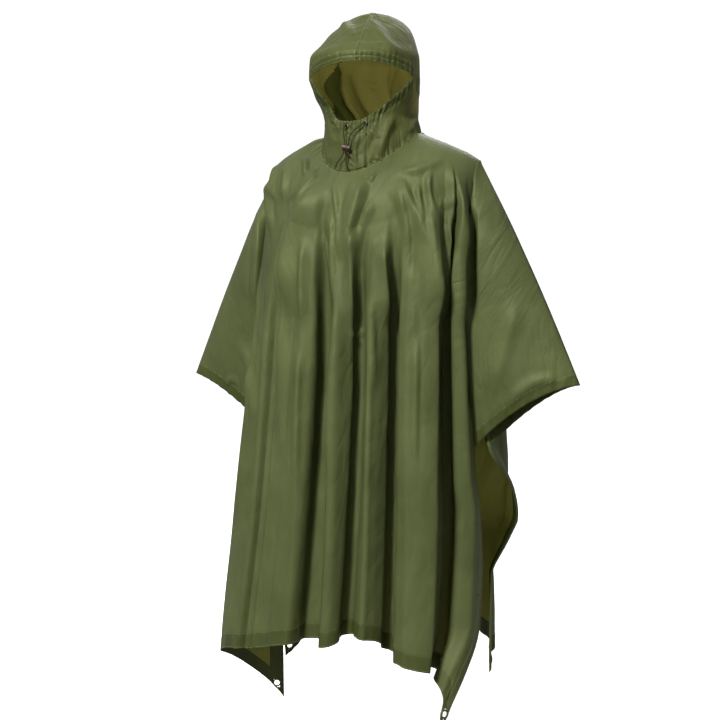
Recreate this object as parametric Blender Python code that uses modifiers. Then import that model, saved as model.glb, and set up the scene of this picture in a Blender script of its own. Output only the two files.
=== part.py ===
"""Hooded rain poncho, in the hollow form that it takes when it is worn with the hood up.

Frame: metres, +Z up. The wearer faces -Y and +X is the wearer's left. The origin is at the base of
the neck, where the wearer's shoulders carry the cloth. Angles on the body and on the hood are in
degrees round the vertical: 0 at the centre of the front (of the back, for the back panel) and
positive towards the wearer's left.

Each piece of cloth is an open surface whose wall grows outwards from it. The front and the back
panel meet on the ridge over shoulders and arms. Every piece keeps SEAM_GAP to its neighbour.
"""

import math

import bmesh
import bpy
import numpy as np
from mathutils import Vector

# ---------------------------------------------------------------- driving dimensions, in metres
CLOTH = 0.0012  # wall of the panels and the hood
HEM_CLOTH = 0.0010  # wall of the turned-in hems
SEAM_GAP = 0.0003

NECK_HALF = 0.115  # neck hole, half its width
NECK_FRONT = 0.125  # neck hole, from its middle to its front edge
NECK_BACK = 0.100
NECK_SIDE_HEIGHT = 0.002
NECK_FRONT_HEIGHT = -0.090
NECK_BACK_HEIGHT = 0.004
NECK_SPAN = 40.0  # degrees of the body on each side that hang from the neck hole

SHOULDER = (0.260, 0.015, -0.064)  # where the ridge turns down over the arm
SLEEVE_TIP = (0.495, 0.015, -0.558)  # the sleeve's outer corner
ARM_RIDGE_CROWN = 0.008  # how far the arm's ridge bows outwards
SLEEVE_BULGE = 0.034  # how far each side of the sleeve stands off its middle
RIDGE_STRIP = 0.006  # the flat beside the ridge seam
UNDERARM = {1: -0.700, -1: -0.660}  # where a sleeve's two hems meet, left and right
SLEEVE_HEM = 0.031  # height of the sleeve hem at the underarm, 28 mm across the hem

CHEST_HEIGHT = -0.220  # where the cloth leaves the chest and hangs
CHEST_SIDE_HEIGHT = -0.120
HEM_WIDTH = 0.035
SIDE_HEM_ANGLE = 6.0  # degrees of the body that the side hem takes, about 28 mm

HOOD_COLUMNS = 12  # columns on each quarter of the hood and of the front of the neck hole
HOOD_BACK_COLUMNS = 8
OPENING_COLUMNS = 9  # columns of the face opening on each side
OPENING_SPAN = 90.0 * OPENING_COLUMNS / HOOD_COLUMNS
CROWN_HEIGHT = 0.280
DOME_HEIGHT = 0.120  # the crown is a dome from here up
HOOD_BACK_SPLIT = 0.140  # height of the opening's line at the back of the head
CASING_WIDTH = 0.024  # of the edge that holds the drawcord
NECK_TUCK = 0.006  # how far the hood reaches into the neck hole
HEM_GAP = 0.0005  # between a panel and its turned-in hem
HEM_INSET = 0.0006  # how far a turned-in hem stays inside the edges of its cells

CORD_RADIUS = 0.0013
CORD_CLEARANCE = 0.0004  # round the cord, in the toggle and in the knots
TOGGLE_LENGTH = 0.022
TOGGLE_RADIUS = 0.0043
TOGGLE_CENTRE = (0.0010, -0.1345, -0.0350)
TOGGLE_HOLES = 0.0046  # each hole's distance from the toggle's middle
TOGGLE_TURN = 11.0  # degrees by which the toggle's left end hangs lower
KNOT_RADII = (0.0030, 0.0013)  # radius of the ring and of its wire
KNOT_DROP = {"right": 0.0064, "left": 0.0140}  # below the toggle's middle
THROAT_EYELET = (0.0040, 0.0011)
THROAT_EYELET_COLUMN = {"right": 0, "left": 2}  # the hood column that each is set in
CORNER_EYELET = (0.0082, 0.0018)
CORNER_HOLE_RADIUS = 0.0062
STUD_RADIUS = 0.0062
STUD_HEIGHT = 0.0028
STUD_ROW = -5  # the panel row above which the press stud is set


def table(names, rows):
    """A table with named columns, as a dictionary of arrays."""
    return dict(zip(names.split(), np.array(rows, float).T))


# The body as a horizontal oval at each height: half its width, how far it reaches forwards and
# back from its middle, and where its middle lies.
BODY = table(
    "height half_width front back middle_x middle_y",
    [
        (-1.40, 0.312, 0.205, 0.250, -0.046, -0.055),
        (-1.20, 0.306, 0.200, 0.245, -0.042, -0.050),
        (-0.90, 0.290, 0.190, 0.235, -0.026, -0.034),
        (-0.60, 0.278, 0.184, 0.215, -0.014, -0.018),
        (-0.30, 0.270, 0.172, 0.190, -0.005, -0.006),
        (-0.12, 0.264, 0.160, 0.165, 0.000, 0.006),
        (0.02, 0.260, 0.150, 0.150, 0.000, 0.010),
    ],
)

# Folds: the angle at which each starts, its reach outwards (inwards where negative), its half width in
# degrees, the height at which it starts, the height from which it is full, and by how many degrees
# it moves with each metre down the cloth.
FRONT_FOLDS = table(
    "angle reach half_width start full drift",
    [
        (-88, -0.020, 6.0, -0.10, -0.35, 0),
        (-88, 0.014, 6.0, -0.48, -0.62, 0),
        (-72, 0.014, 9.0, -0.20, -0.80, 4),
        (-54, -0.014, 6.0, -0.30, -0.90, 3),
        (-38, -0.016, 4.0, -0.16, -0.50, 0),
        (-23, 0.014, 5.5, -0.20, -0.60, 5),
        (-8.5, -0.042, 5.5, -0.16, -0.60, 9),
        (2, 0.012, 4.0, -0.20, -0.60, 7),
        (11, -0.037, 5.0, -0.20, -0.60, 4),
        (19.5, 0.014, 4.0, -0.20, -0.60, 6),
        (27.5, -0.042, 5.5, -0.22, -0.55, 8),
        (45, 0.018, 10.0, -0.15, -0.60, 4),
        (66, -0.058, 6.5, -0.18, -0.55, 2),
        (78, 0.010, 5.0, -0.10, -0.40, 2),
        (88, -0.034, 5.5, -0.10, -0.35, 0),
        (88, 0.034, 5.5, -0.50, -0.66, 0),
        (90, 0.016, 9.0, -0.70, -1.00, 0),
    ],
)
BACK_FOLDS = table(
    "angle reach half_width start full drift",
    [
        (-72, 0.012, 10.0, -0.20, -0.70, 3),
        (-56, -0.018, 10.0, -0.20, -0.70, 0),
        (-38, 0.014, 9.0, -0.20, -0.70, -3),
        (-22, -0.030, 7.0, -0.28, -0.75, 0),
        (-8, 0.012, 7.0, -0.30, -0.80, 3),
        (8, -0.032, 6.5, -0.34, -0.80, 0),
        (24, 0.014, 8.0, -0.30, -0.80, -3),
        (42, -0.022, 9.0, -0.22, -0.70, 0),
        (68, 0.056, 14.0, -0.20, -0.66, 6),
        (88, 0.074, 15.0, -0.66, -0.90, 0),
        (86, -0.080, 17.0, -0.88, -0.99, 0),
        (89, -0.024, 7.0, -0.20, -0.50, 0),
        (89, 0.038, 6.0, -0.48, -0.64, 0),
    ],
)

# The line at which a panel leaves the body: the sleeve's root down to the underarm, and the free
# side edge below it, as an angle from the panel's centre at each height.
SLEEVE_ROOT = [(-0.50, 83), (-0.30, 77), (-0.12, 80), (0.00, 84)]
FRONT_EDGE_LEFT = table(
    "height angle",
    [
        (-1.30, 62),
        (-1.25, 68),
        (-1.18, 79),
        (-1.08, 95),
        (-0.85, 98),
        (-0.77, 92),
        (-0.70, 89.3),
        *SLEEVE_ROOT,
    ],
)
FRONT_EDGE_RIGHT = table(
    "height angle",
    [(-1.34, 130), (-1.20, 128), (-1.00, 116), (-0.85, 104), (-0.74, 93), (-0.66, 89.3), *SLEEVE_ROOT],
)
BACK_EDGE_LEFT = table(
    "height angle",
    [
        (-1.26, 80),
        (-1.10, 78),
        (-0.98, 72),
        (-0.90, 56),
        (-0.83, 62),
        (-0.76, 78),
        (-0.70, 89.3),
        *SLEEVE_ROOT,
    ],
)
BACK_EDGE_RIGHT = table(
    "height angle",
    [(-1.30, 52), (-1.10, 57), (-0.95, 65), (-0.80, 75), (-0.72, 84), (-0.66, 89.3), *SLEEVE_ROOT],
)

# Height of the bottom hem, which drops to a corner at each side.
FRONT_HEM = table(
    "angle height",
    [
        (-90, -1.345),
        (-82, -1.292),
        (-70, -1.222),
        (-56, -1.180),
        (-32, -1.155),
        (-12, -1.130),
        (0, -1.120),
        (6, -1.126),
        (19, -1.097),
        (28, -1.104),
        (38, -1.146),
        (57, -1.170),
        (68, -1.176),
        (78, -1.214),
        (90, -1.302),
    ],
)
BACK_HEM = table(
    "angle height",
    [
        (-90, -1.250),
        (-70, -1.190),
        (-45, -1.125),
        (-20, -1.090),
        (0, -1.110),
        (20, -1.085),
        (45, -1.115),
        (70, -1.150),
        (90, -1.200),
    ],
)

# The hood as a turned oval at each height, and how far it is turned towards the wearer's left.
HOOD = table(
    "height half_width front back middle_y turn",
    [
        (-0.10, 0.1120, 0.124, 0.100, 0.000, 0),
        (-0.03, 0.1075, 0.120, 0.100, 0.000, 0),
        (0.03, 0.1070, 0.119, 0.104, -0.001, 2),
        (0.06, 0.1110, 0.120, 0.112, -0.010, 8),
        (0.09, 0.1190, 0.122, 0.124, -0.030, 15),
        (0.13, 0.1250, 0.124, 0.132, -0.042, 19),
        (0.17, 0.1235, 0.129, 0.134, -0.041, 20),
        (0.20, 0.1095, 0.116, 0.126, -0.023, 20),
        (0.23, 0.0935, 0.096, 0.112, -0.007, 20),
        (0.25, 0.0770, 0.076, 0.092, 0.004, 20),
        (0.267, 0.0540, 0.054, 0.062, 0.006, 20),
        (0.277, 0.0270, 0.027, 0.032, 0.006, 20),
        (CROWN_HEIGHT, 0.0, 0.0, 0.0, 0.006, 20),
    ],
)
HOOD_FOLDS = table(
    "angle reach half_width start full drift",
    [
        (-150, -0.016, 9.0, 0.16, 0.08, 0.0),
        (-112, -0.010, 9.0, 0.14, 0.06, 0.0),
        (112, -0.012, 9.0, 0.14, 0.06, 0.0),
        (146, -0.020, 8.0, 0.17, 0.08, 0.0),
    ],
)
# Height of the face opening's chin edge and of its brim, by the angle from the hood's front.
OPENING = table(
    "angle chin brim",
    [
        (0, 0.024, 0.151),
        (14, 0.027, 0.150),
        (28, 0.044, 0.145),
        (46, 0.080, 0.138),
        (58, 0.102, 0.132),
        (OPENING_SPAN, 0.124, 0.124),
    ],
)

# The drawcord's two free stretches: from the eyelet down to the toggle, and from there to the end.
CORD_ABOVE = {
    "right": [(-0.0062, -0.1300, 0.0100), (-0.0054, -0.1335, -0.0020), (-0.0030, -0.1345, -0.0180)],
    "left": [(0.0290, -0.1250, 0.0110), (0.0190, -0.1310, 0.0010), (0.0100, -0.1342, -0.0120)],
}
CORD_BELOW = {
    "right": [
        (-0.0074, -0.1347, -0.0520),
        (-0.0130, -0.1350, -0.0600),
        (-0.0200, -0.1350, -0.0680),
        (-0.0250, -0.1350, -0.0790),
    ],
    "left": [
        (0.0030, -0.1347, -0.0580),
        (0.0018, -0.1352, -0.0660),
        (0.0026, -0.1358, -0.0750),
        (0.0050, -0.1364, -0.0830),
    ],
}


# ---------------------------------------------------------------- small tools
def curve(rows, of, by, at):
    """Reads a table's column at any place, on a smooth curve through its rows that never overshoots."""
    x, y = rows[by], rows[of]
    if x[0] > x[-1]:
        x, y = x[::-1], y[::-1]
    step = np.diff(y) / np.diff(x)
    product = step[:-1] * step[1:]
    total = np.where(step[:-1] + step[1:] == 0, 1.0, step[:-1] + step[1:])
    inner = np.where(product > 0, 2 * product / total, 0.0)
    slope = np.concatenate([[step[0]], inner, [step[-1]]])
    at = np.clip(at, x[0], x[-1])
    k = np.clip(np.searchsorted(x, at, side="right") - 1, 0, len(x) - 2)
    width = x[k + 1] - x[k]
    t = (at - x[k]) / width
    return (
        (2 * t**3 - 3 * t**2 + 1) * y[k]
        + (t**3 - 2 * t**2 + t) * width * slope[k]
        + (3 * t**2 - 2 * t**3) * y[k + 1]
        + (t**3 - t**2) * width * slope[k + 1]
    )


def ease(x):
    x = np.clip(x, 0.0, 1.0)
    return x * x * (3 - 2 * x)


def fold_reach(folds, angle, height):
    """How far the folds move the cloth outwards at an angle and a height."""
    reach = np.zeros(np.broadcast(angle, height).shape)
    for centre, depth, half_width, start, full, drift in zip(*folds.values()):
        grown = ease((start - height) / (start - full))
        line = centre + drift * np.maximum(start - height, 0)
        reach = reach + depth * grown * np.exp(-(((angle - line) / half_width) ** 2))
    return reach


# ---------------------------------------------------------------- the form of the panels
class Panel:
    """One half of the cloth: the front (side -1) or the back (side +1)."""

    def __init__(self, side, depth, neck_depth, neck_height, folds, hem, edge_left, edge_right, gathered_from):
        self.side = side
        self.gathered_from = gathered_from  # the angle beyond which the free side edge draws the cloth along
        self.depth = depth
        self.neck_depth = neck_depth
        self.neck_height = neck_height
        self.folds = folds
        self.hem = hem
        self.edge_left = edge_left
        self.edge_right = edge_right

    def hanging(self, angle, height):
        """A point of the hanging cloth, by its angle in the panel and its height."""
        edge = np.where(
            angle > 0,
            curve(self.edge_left, "angle", "height", height),
            curve(self.edge_right, "angle", "height", height),
        )
        gathered = ease((np.abs(angle) - self.gathered_from) / (90 - self.gathered_from))
        turned = np.radians(angle + np.sign(angle) * gathered * (edge - 90))
        wide = curve(BODY, "half_width", "height", height)
        deep = curve(BODY, self.depth, "height", height)
        reach = fold_reach(self.folds, angle, height)
        out_x, out_y = deep * np.sin(turned), wide * np.cos(turned)
        length = np.hypot(out_x, out_y)
        x = curve(BODY, "middle_x", "height", height) + wide * np.sin(turned) + reach * out_x / length
        y = curve(BODY, "middle_y", "height", height)
        y = y + self.side * (deep * np.cos(turned) + reach * out_y / length)
        return np.stack(np.broadcast_arrays(x, y, height), axis=-1)

    def chest_height(self, angle):
        return CHEST_HEIGHT + (CHEST_SIDE_HEIGHT - CHEST_HEIGHT) * ease(np.abs(angle) / 80)

    def neck_edge(self, angle):
        """The neck hole's edge, by the angle round the hole: 0 at its centre front (or back)."""
        a = np.radians(angle)
        height = NECK_SIDE_HEIGHT + (self.neck_height - NECK_SIDE_HEIGHT) * np.cos(a) ** 1.3
        return np.stack([NECK_HALF * np.sin(a), self.side * self.neck_depth * np.cos(a), height], axis=-1)

    def ridge(self, angle):
        """The shoulder ridge from the neck hole to the shoulder, on both sides of the neck."""
        outside = np.clip((np.abs(angle) - NECK_SPAN) / (90 - NECK_SPAN), 0, 1)
        along = outside**0.72
        x = NECK_HALF + (SHOULDER[0] - NECK_HALF) * along
        y = SHOULDER[1] * along + self.side * SEAM_GAP / 2
        z = NECK_SIDE_HEIGHT + (SHOULDER[2] - NECK_SIDE_HEIGHT) * (0.86 * along + 0.14 * along**4)
        return np.stack([np.sign(angle) * x, y, z], axis=-1)

    def over_the_shoulder(self, angle, share):
        """From the ridge or the neck hole (share 0) over the chest to where the cloth hangs (1)."""
        end = self.hanging(angle, self.chest_height(angle))
        # Beside the neck hole the sheet is the same dome, entered part of the way along.
        hole = self.neck_edge(np.clip(angle / NECK_SPAN, -1, 1) * 90)
        reached = np.clip(hole[..., 1] / end[..., 1], 0, 0.97)
        entered = np.arcsin(reached)
        start_xy = (hole[..., :2] - end[..., :2] * reached[..., None]) / (1 - reached[..., None])
        start_z = (hole[..., 2] - end[..., 2] * (1 - np.cos(entered))) / np.cos(entered)
        dome = np.concatenate([start_xy, start_z[..., None]], axis=-1)
        inside = np.abs(angle) < NECK_SPAN
        first = np.where(inside[..., None], dome, self.ridge(angle))
        turn = np.where(inside, entered, 0.0)
        turn = turn + (math.pi / 2 - turn) * share
        point = first + (end - first) * np.sin(turn)[..., None]
        point[..., 2] = first[..., 2] + (end - first)[..., 2] * (1 - np.cos(turn))
        return point

    def body(self, angle, row):
        """A point of the panel between its side lines. Rows: 0 to 1 over the chest, 1 to 2 down to
        the sleeve hem, 2 to 3 along that hem, 3 to 4 down to the bottom hem, 4 to 5 along it."""
        angle, row = np.broadcast_arrays(np.asarray(angle, float), np.asarray(row, float))
        hem = curve(self.hem, "height", "angle", angle)
        underarm = np.interp(angle, (-90, 90), (UNDERARM[-1], UNDERARM[1]))
        stops = [self.chest_height(angle), underarm + SLEEVE_HEM, underarm, hem + HEM_WIDTH, hem]
        height = stops[0] + np.zeros_like(row)
        for k in range(4):
            height = height + (stops[k + 1] - stops[k]) * np.clip(row - 1 - k, 0, 1)
        over = self.over_the_shoulder(angle, np.clip(row, 0, 1))
        return np.where((row < 1)[..., None], over, self.hanging(angle, height))

    def sleeve(self, hand, out, row):
        """A point of the sleeve on the wearer's left (hand 1) or right (-1): out is 0 at the body
        and 1 on the ridge, row runs from 0 at the shoulder to 3 at the sleeve's hem."""
        out, row = np.broadcast_arrays(np.asarray(out, float), np.asarray(row, float))
        root = self.body(np.full(row.shape, 90.0 * hand), row)
        down = np.clip((SHOULDER[2] - root[..., 2]) / (SHOULDER[2] - UNDERARM[hand]), 0, 1)
        start, end = np.array(SHOULDER), np.array(SLEEVE_TIP)
        ridge = start + (end - start) * down[..., None]
        ridge[..., 0] += ARM_RIDGE_CROWN * np.sin(math.pi * down)
        ridge[..., 0] *= hand
        ridge[..., 1] += self.side * SEAM_GAP / 2
        point = root + (ridge - root) * out[..., None]
        # The hem leaves the tip nearly level and falls steeply at the body.
        lift = (1 - out) - (1 - out) ** 1.7
        point[..., 2] += lift * down**3 * (ridge - root)[..., 2] * 0.9
        bulge = SLEEVE_BULGE * ease(down / 0.35) * (1 - 0.5 * down**3) * (4 * out * (1 - out)) ** 0.6
        point[..., 1] += self.side * bulge
        return point


FRONT = Panel(
    -1, "front", NECK_FRONT, NECK_FRONT_HEIGHT, FRONT_FOLDS, FRONT_HEM, FRONT_EDGE_LEFT, FRONT_EDGE_RIGHT, 46
)
BACK = Panel(
    1, "back", NECK_BACK, NECK_BACK_HEIGHT, BACK_FOLDS, BACK_HEM, BACK_EDGE_LEFT, BACK_EDGE_RIGHT, 20
)


def panel_columns(neck, side):
    """Angles of a panel's columns: over the neck hole, on each side of it, and the side hems."""
    middle = np.linspace(-NECK_SPAN, NECK_SPAN, neck + 1)
    right = np.append(np.linspace(NECK_SPAN, 90 - SIDE_HEM_ANGLE, side + 1)[1:], 90.0)
    return np.concatenate([-right[::-1], middle, right])


def panel_rows(chest, upper, lower):
    """Rows of a panel, the first strip a narrow one beside the ridge."""
    return np.concatenate(
        [
            [0.0],
            np.linspace(0.06, 1, chest),
            np.linspace(1, 2, upper + 1)[1:],
            np.linspace(3, 4, lower + 1),
            [5.0],
        ]
    )


def sleeve_shares(steps):
    """Places from the body to the ridge, with a narrow strip beside the ridge seam."""
    even = np.linspace(0, 1, steps) ** 0.85
    return np.concatenate([even[:-1] * 0.97, [1 - RIDGE_STRIP / 0.27, 1]])


# ---------------------------------------------------------------- the form of the hood
def hood_ring(hand, angle, height):
    """A point of the hood's left (hand 1) or right half: angle is 0 at its front and 180 behind."""
    a = np.radians(angle)
    wide = curve(HOOD, "half_width", "height", height)
    deep = np.where(np.cos(a) > 0, curve(HOOD, "front", "height", height), curve(HOOD, "back", "height", height))
    reach = fold_reach(HOOD_FOLDS, hand * angle, height)
    across = hand * ((wide + reach) * np.sin(a) + SEAM_GAP / 2)
    along = -(deep + reach) * np.cos(a)
    turn = np.radians(curve(HOOD, "turn", "height", height))
    x = across * np.cos(turn) - along * np.sin(turn)
    y = across * np.sin(turn) + along * np.cos(turn) + curve(HOOD, "middle_y", "height", height)
    return np.stack(np.broadcast_arrays(x, y, height), axis=-1)


def neck_ring(hand, angle):
    """The hood's lower edge, just inside the neck hole and on the same chords."""
    point = np.where(
        (angle <= 90)[..., None],
        FRONT.neck_edge(hand * np.minimum(angle, 90)),
        BACK.neck_edge(hand * (180 - np.maximum(angle, 90))),
    )
    radius = np.hypot(point[..., 0], point[..., 1])
    inner = 1 - (CLOTH + 2.2 * SEAM_GAP) / radius
    point[..., 0] = point[..., 0] * inner + hand * SEAM_GAP / 2
    point[..., 1] *= inner
    return point


def hood_split(angle, edge):
    """Height of the line that parts at the face opening, as its chin or its brim edge."""
    front = curve(OPENING, edge, "angle", np.minimum(angle, OPENING_SPAN))
    behind = np.clip((angle - OPENING_SPAN) / (180 - OPENING_SPAN), 0, 1)
    return front + (HOOD_BACK_SPLIT - front) * ease(behind) * (angle > OPENING_SPAN)


def hood_below(hand, angle, row):
    """The hood below the opening's line. Rows: -1 to 0 inside the neck hole, 0 to 1 up to the
    casing, 1 to 2 along the casing."""
    angle, row = np.broadcast_arrays(np.asarray(angle, float), np.asarray(row, float))
    base = neck_ring(hand, angle)
    top = hood_split(angle, "chin")
    height = base[..., 2] + np.clip(row, -1, 0) * NECK_TUCK
    height = height + (top - CASING_WIDTH - base[..., 2]) * np.clip(row, 0, 1)
    height = height + CASING_WIDTH * np.clip(row - 1, 0, 1)
    point = hood_ring(hand, angle, height)
    free = ease(row / 0.5)[..., None]
    point[..., :2] = base[..., :2] + (point[..., :2] - base[..., :2]) * free
    return point


def hood_above(hand, angle, row):
    """The hood above the opening's line. Rows: 0 to 1 along the casing, 1 to 2 up to the crown."""
    angle, row = np.broadcast_arrays(np.asarray(angle, float), np.asarray(row, float))
    rise = CROWN_HEIGHT - DOME_HEIGHT
    start = hood_split(angle, "brim")
    lower = np.arcsin((start - DOME_HEIGHT) / rise)
    upper = np.arcsin((start + CASING_WIDTH * 0.92 - DOME_HEIGHT) / rise)
    turn = lower + (upper - lower) * np.clip(row, 0, 1) + (math.pi / 2 - upper) * np.clip(row - 1, 0, 1)
    return hood_ring(hand, angle, DOME_HEIGHT + rise * np.sin(turn))


def hood_columns():
    front = np.linspace(0, 90, HOOD_COLUMNS + 1)
    return np.concatenate([front, np.linspace(90, 180, HOOD_BACK_COLUMNS + 1)[1:]])


# ---------------------------------------------------------------- meshes and objects
def new_material(name, colour, roughness, metallic=0.0):
    material = bpy.data.materials.new(name)
    material.use_nodes = True
    shader = material.node_tree.nodes["Principled BSDF"]
    shader.inputs["Base Color"].default_value = (*colour, 1)
    shader.inputs["Roughness"].default_value = roughness
    shader.inputs["Metallic"].default_value = metallic
    return material


def tangents(grid):
    """Directions down a grid's columns, halfway between the steps on both sides of each point."""
    step = np.diff(grid, axis=0)
    step /= np.maximum(np.linalg.norm(step, axis=-1, keepdims=True), 1e-9)
    return np.concatenate([step[:1], step[:-1] + step[1:], step[-1:]])


def normals(grid, outwards):
    """Unit normals of a grid of points, on the side that outwards points to."""
    across = np.cross(tangents(grid.transpose(1, 0, 2)).transpose(1, 0, 2), tangents(grid))
    across /= np.maximum(np.linalg.norm(across, axis=-1, keepdims=True), 1e-12)
    return across * np.sign((across * outwards).sum())


def inset(grid, by):
    """A grid whose outer points are drawn in along its own lines."""
    grid = grid.copy()
    for _ in range(2):
        for edge, beside in ((0, 1), (-1, -2)):
            step = grid[beside] - grid[edge]
            length = np.linalg.norm(step, axis=-1, keepdims=True)
            grid[edge] += step * by / np.maximum(length, 1e-9)
        grid = grid.transpose(1, 0, 2)
    return grid


def adopt(piece, name, material, group=None):
    """Names a new object, gives it its material and moves it to its collection."""
    piece.name = piece.data.name = name
    piece.data.materials.append(material)
    for collection in piece.users_collection:
        collection.objects.unlink(piece)
    (group or PARTS).objects.link(piece)
    return piece


def sheet(name, grids, outwards, wall, material):
    """One piece of cloth from grids of points that share edges. Its wall grows outwards from the
    points, to the side that outwards gives."""
    shape = bmesh.new()
    for grid in grids:
        rows, columns = grid.shape[:2]
        corners = [[shape.verts.new(grid[i, j]) for j in range(columns)] for i in range(rows)]
        for i in range(rows - 1):
            for j in range(columns - 1):
                here, there = corners[i][j : j + 2], corners[i + 1][j : j + 2]
                shape.faces.new((*here, *there[::-1]))
    bmesh.ops.remove_doubles(shape, verts=shape.verts, dist=WELD)
    bmesh.ops.recalc_face_normals(shape, faces=shape.faces)
    direction = Vector(outwards)
    if sum(face.normal.dot(direction) * face.calc_area() for face in shape.faces) < 0:
        bmesh.ops.reverse_faces(shape, faces=shape.faces)
    # Both sides of the wall then fold on the same diagonals.
    bmesh.ops.triangulate(shape, faces=shape.faces, quad_method="SHORT_EDGE")
    mesh = bpy.data.meshes.new(name)
    shape.to_mesh(mesh)
    shape.free()
    mesh.shade_smooth()
    piece = adopt(bpy.data.objects.new(name, mesh), name, material)
    thick = piece.modifiers.new("wall", "SOLIDIFY")
    thick.thickness = wall
    thick.offset = 1.0
    return piece


def hem(name, grid, moved, outwards):
    """A turned-in hem: the panel's own points, moved to its inner side."""
    return sheet(name, [inset(grid - moved * (HEM_GAP + HEM_CLOTH), HEM_INSET)], outwards, HEM_CLOTH, HEM_TAFFETA)


def facing(direction):
    """The rotation that turns +Z to a direction."""
    return Vector(direction).to_track_quat("Z", "Y").to_euler()


def ring(name, radii, steps, place, direction, material):
    bpy.ops.mesh.primitive_torus_add(
        major_radius=radii[0],
        minor_radius=radii[1],
        major_segments=steps,
        minor_segments=6,
        location=place,
        rotation=facing(direction),
    )
    piece = adopt(bpy.context.object, name, material)
    piece.data.shade_smooth()
    return piece


def barrel(name, radius, length, rounding, place, direction, material):
    """A short round bar with rounded ends, centred on a place."""
    bpy.ops.mesh.primitive_cylinder_add(
        vertices=14, radius=radius, depth=length, location=place, rotation=facing(direction)
    )
    piece = adopt(bpy.context.object, name, material)
    rounded = piece.modifiers.new("rounded", "BEVEL")
    rounded.width = rounding
    rounded.segments = 2
    rounded.angle_limit = math.radians(60)
    return piece


def hole(piece, radius, depth, place, direction):
    """Cuts a round hole through a piece."""
    bpy.ops.mesh.primitive_cylinder_add(
        vertices=16, radius=radius, depth=2 * depth, location=place, rotation=facing(direction)
    )
    cutter = adopt(bpy.context.object, f"{piece.name}_hole", TAFFETA, CUTTERS)
    cutter.hide_render = True
    cutter.display_type = "WIRE"
    cut = piece.modifiers.new("hole", "BOOLEAN")
    cut.operation = "DIFFERENCE"
    cut.solver = "EXACT"
    cut.object = cutter


def cell(grid, row, column, outwards):
    """Middle and outward normal of one cell of a grid, and how far its corners are off its plane."""
    corners = grid[[row, row, row + 1, row + 1], [column, column + 1, column, column + 1]]
    normal = np.cross(corners[3] - corners[0], corners[2] - corners[1])
    normal *= np.sign(normal @ np.array(outwards)) / np.linalg.norm(normal)
    middle = corners.mean(axis=0)
    return middle, normal, abs((corners - middle) @ normal).max()


def flat_spot(grid, row, column, outwards):
    """Centre and outward normal of one of the two triangles that a cell folds into."""
    a, b, c, d = grid[[row, row, row + 1, row + 1], [column, column + 1, column, column + 1]]
    three = np.array([a, b, d] if np.linalg.norm(a - d) < np.linalg.norm(b - c) else [a, b, c])
    opposite = np.linalg.norm(np.roll(three, 1, axis=0) - np.roll(three, -1, axis=0), axis=1)
    normal = np.cross(three[1] - three[0], three[2] - three[0])
    normal *= np.sign(normal @ np.array(outwards)) / np.linalg.norm(normal)
    return opposite @ three / opposite.sum(), normal


def smooth_route(points, steps):
    """Points along a smooth curve through the route's points."""
    points = np.array(points, float)
    extended = np.concatenate([[2 * points[0] - points[1]], points, [2 * points[-1] - points[-2]]])
    route = []
    for k in range(len(points) - 1):
        a, b, c, d = extended[k : k + 4]
        for t in np.arange(steps) / steps:
            bend = (2 * a - 5 * b + 4 * c - d) * t**2 + (3 * b - a - 3 * c + d) * t**3
            route.append(0.5 * (2 * b + (c - a) * t + bend))
    return np.array([*route, points[-1]])


def cord(name, route, material):
    """A round cord along a route."""
    line = bpy.data.curves.new(name, "CURVE")
    line.dimensions = "3D"
    line.bevel_depth = CORD_RADIUS
    line.bevel_resolution = 1
    line.use_fill_caps = True
    spline = line.splines.new("POLY")
    spline.points.add(len(route) - 1)
    for point, place in zip(spline.points, route):
        point.co = (*place, 1)
    return adopt(bpy.data.objects.new(name, line), name, material)


# ---------------------------------------------------------------- the pieces
PANEL_ROWS = panel_rows(6, 9, 7)
SLEEVE_STEPS = 6
HOOD_ROWS_BELOW = np.array([-1, 0, 0.12, 0.3, 0.5, 0.75, 1, 2], float)
HOOD_ROWS_ABOVE = np.array([0, 1, 1.12, 1.26, 1.42, 1.6, 1.8, 1.92, 2], float)
OUT = {"front": (0, -1, 0.3), "back": (0, 1, 0.3)}
HAND = {"left": 1, "right": -1}


def build_panel(face, panel, neck, side):
    out = OUT[face]
    angles = panel_columns(neck, side)
    body = panel.body(angles[None, :], PANEL_ROWS[:, None])
    sleeve_rows = PANEL_ROWS[PANEL_ROWS <= 3]
    shares = sleeve_shares(SLEEVE_STEPS)
    sleeves = {h: panel.sleeve(HAND[h], shares[None, :], sleeve_rows[:, None]) for h in HAND}
    cloth = sheet(f"{face}_panel", [body, sleeves["left"], sleeves["right"]], out, CLOTH, TAFFETA)
    moved = normals(body, out)
    bottom = hem(f"hem_{face}", body[-2:], moved[-2:], out)
    underarm = len(sleeve_rows) - 1
    for h, hand in HAND.items():
        columns = slice(-2, None) if hand > 0 else slice(0, 2)
        hem(f"side_hem_{face}_{h}", body[underarm:-1, columns], moved[underarm:-1, columns], (hand, 0, 0))
        sleeve = sleeves[h]
        hem(f"sleeve_hem_{face}_{h}", sleeve[-2:, 1:-1], normals(sleeve, out)[-2:, 1:-1], out)
        # The eyelet in the bottom corner, on the cloth's outer side.
        corner = -2 if hand > 0 else 0
        middle, normal, bent = cell(body, -2, corner, moved[-2, corner])
        for piece in (cloth, bottom):
            hole(piece, CORNER_HOLE_RADIUS, 0.012, middle, normal)
        foot = middle + normal * (CLOTH + SEAM_GAP + bent)
        eyelet = foot + normal * CORNER_EYELET[1]
        ring(f"corner_eyelet_{face}_{h}", CORNER_EYELET, 14, eyelet, normal, BRASS)
        if face == "front":
            middle, normal = flat_spot(body, STUD_ROW, corner, moved[STUD_ROW, corner])
            stud = middle + normal * (CLOTH + SEAM_GAP + STUD_HEIGHT / 2)
            barrel(f"press_stud_{h}", STUD_RADIUS, STUD_HEIGHT, 0.0009, stud, normal, BRASS)


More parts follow.
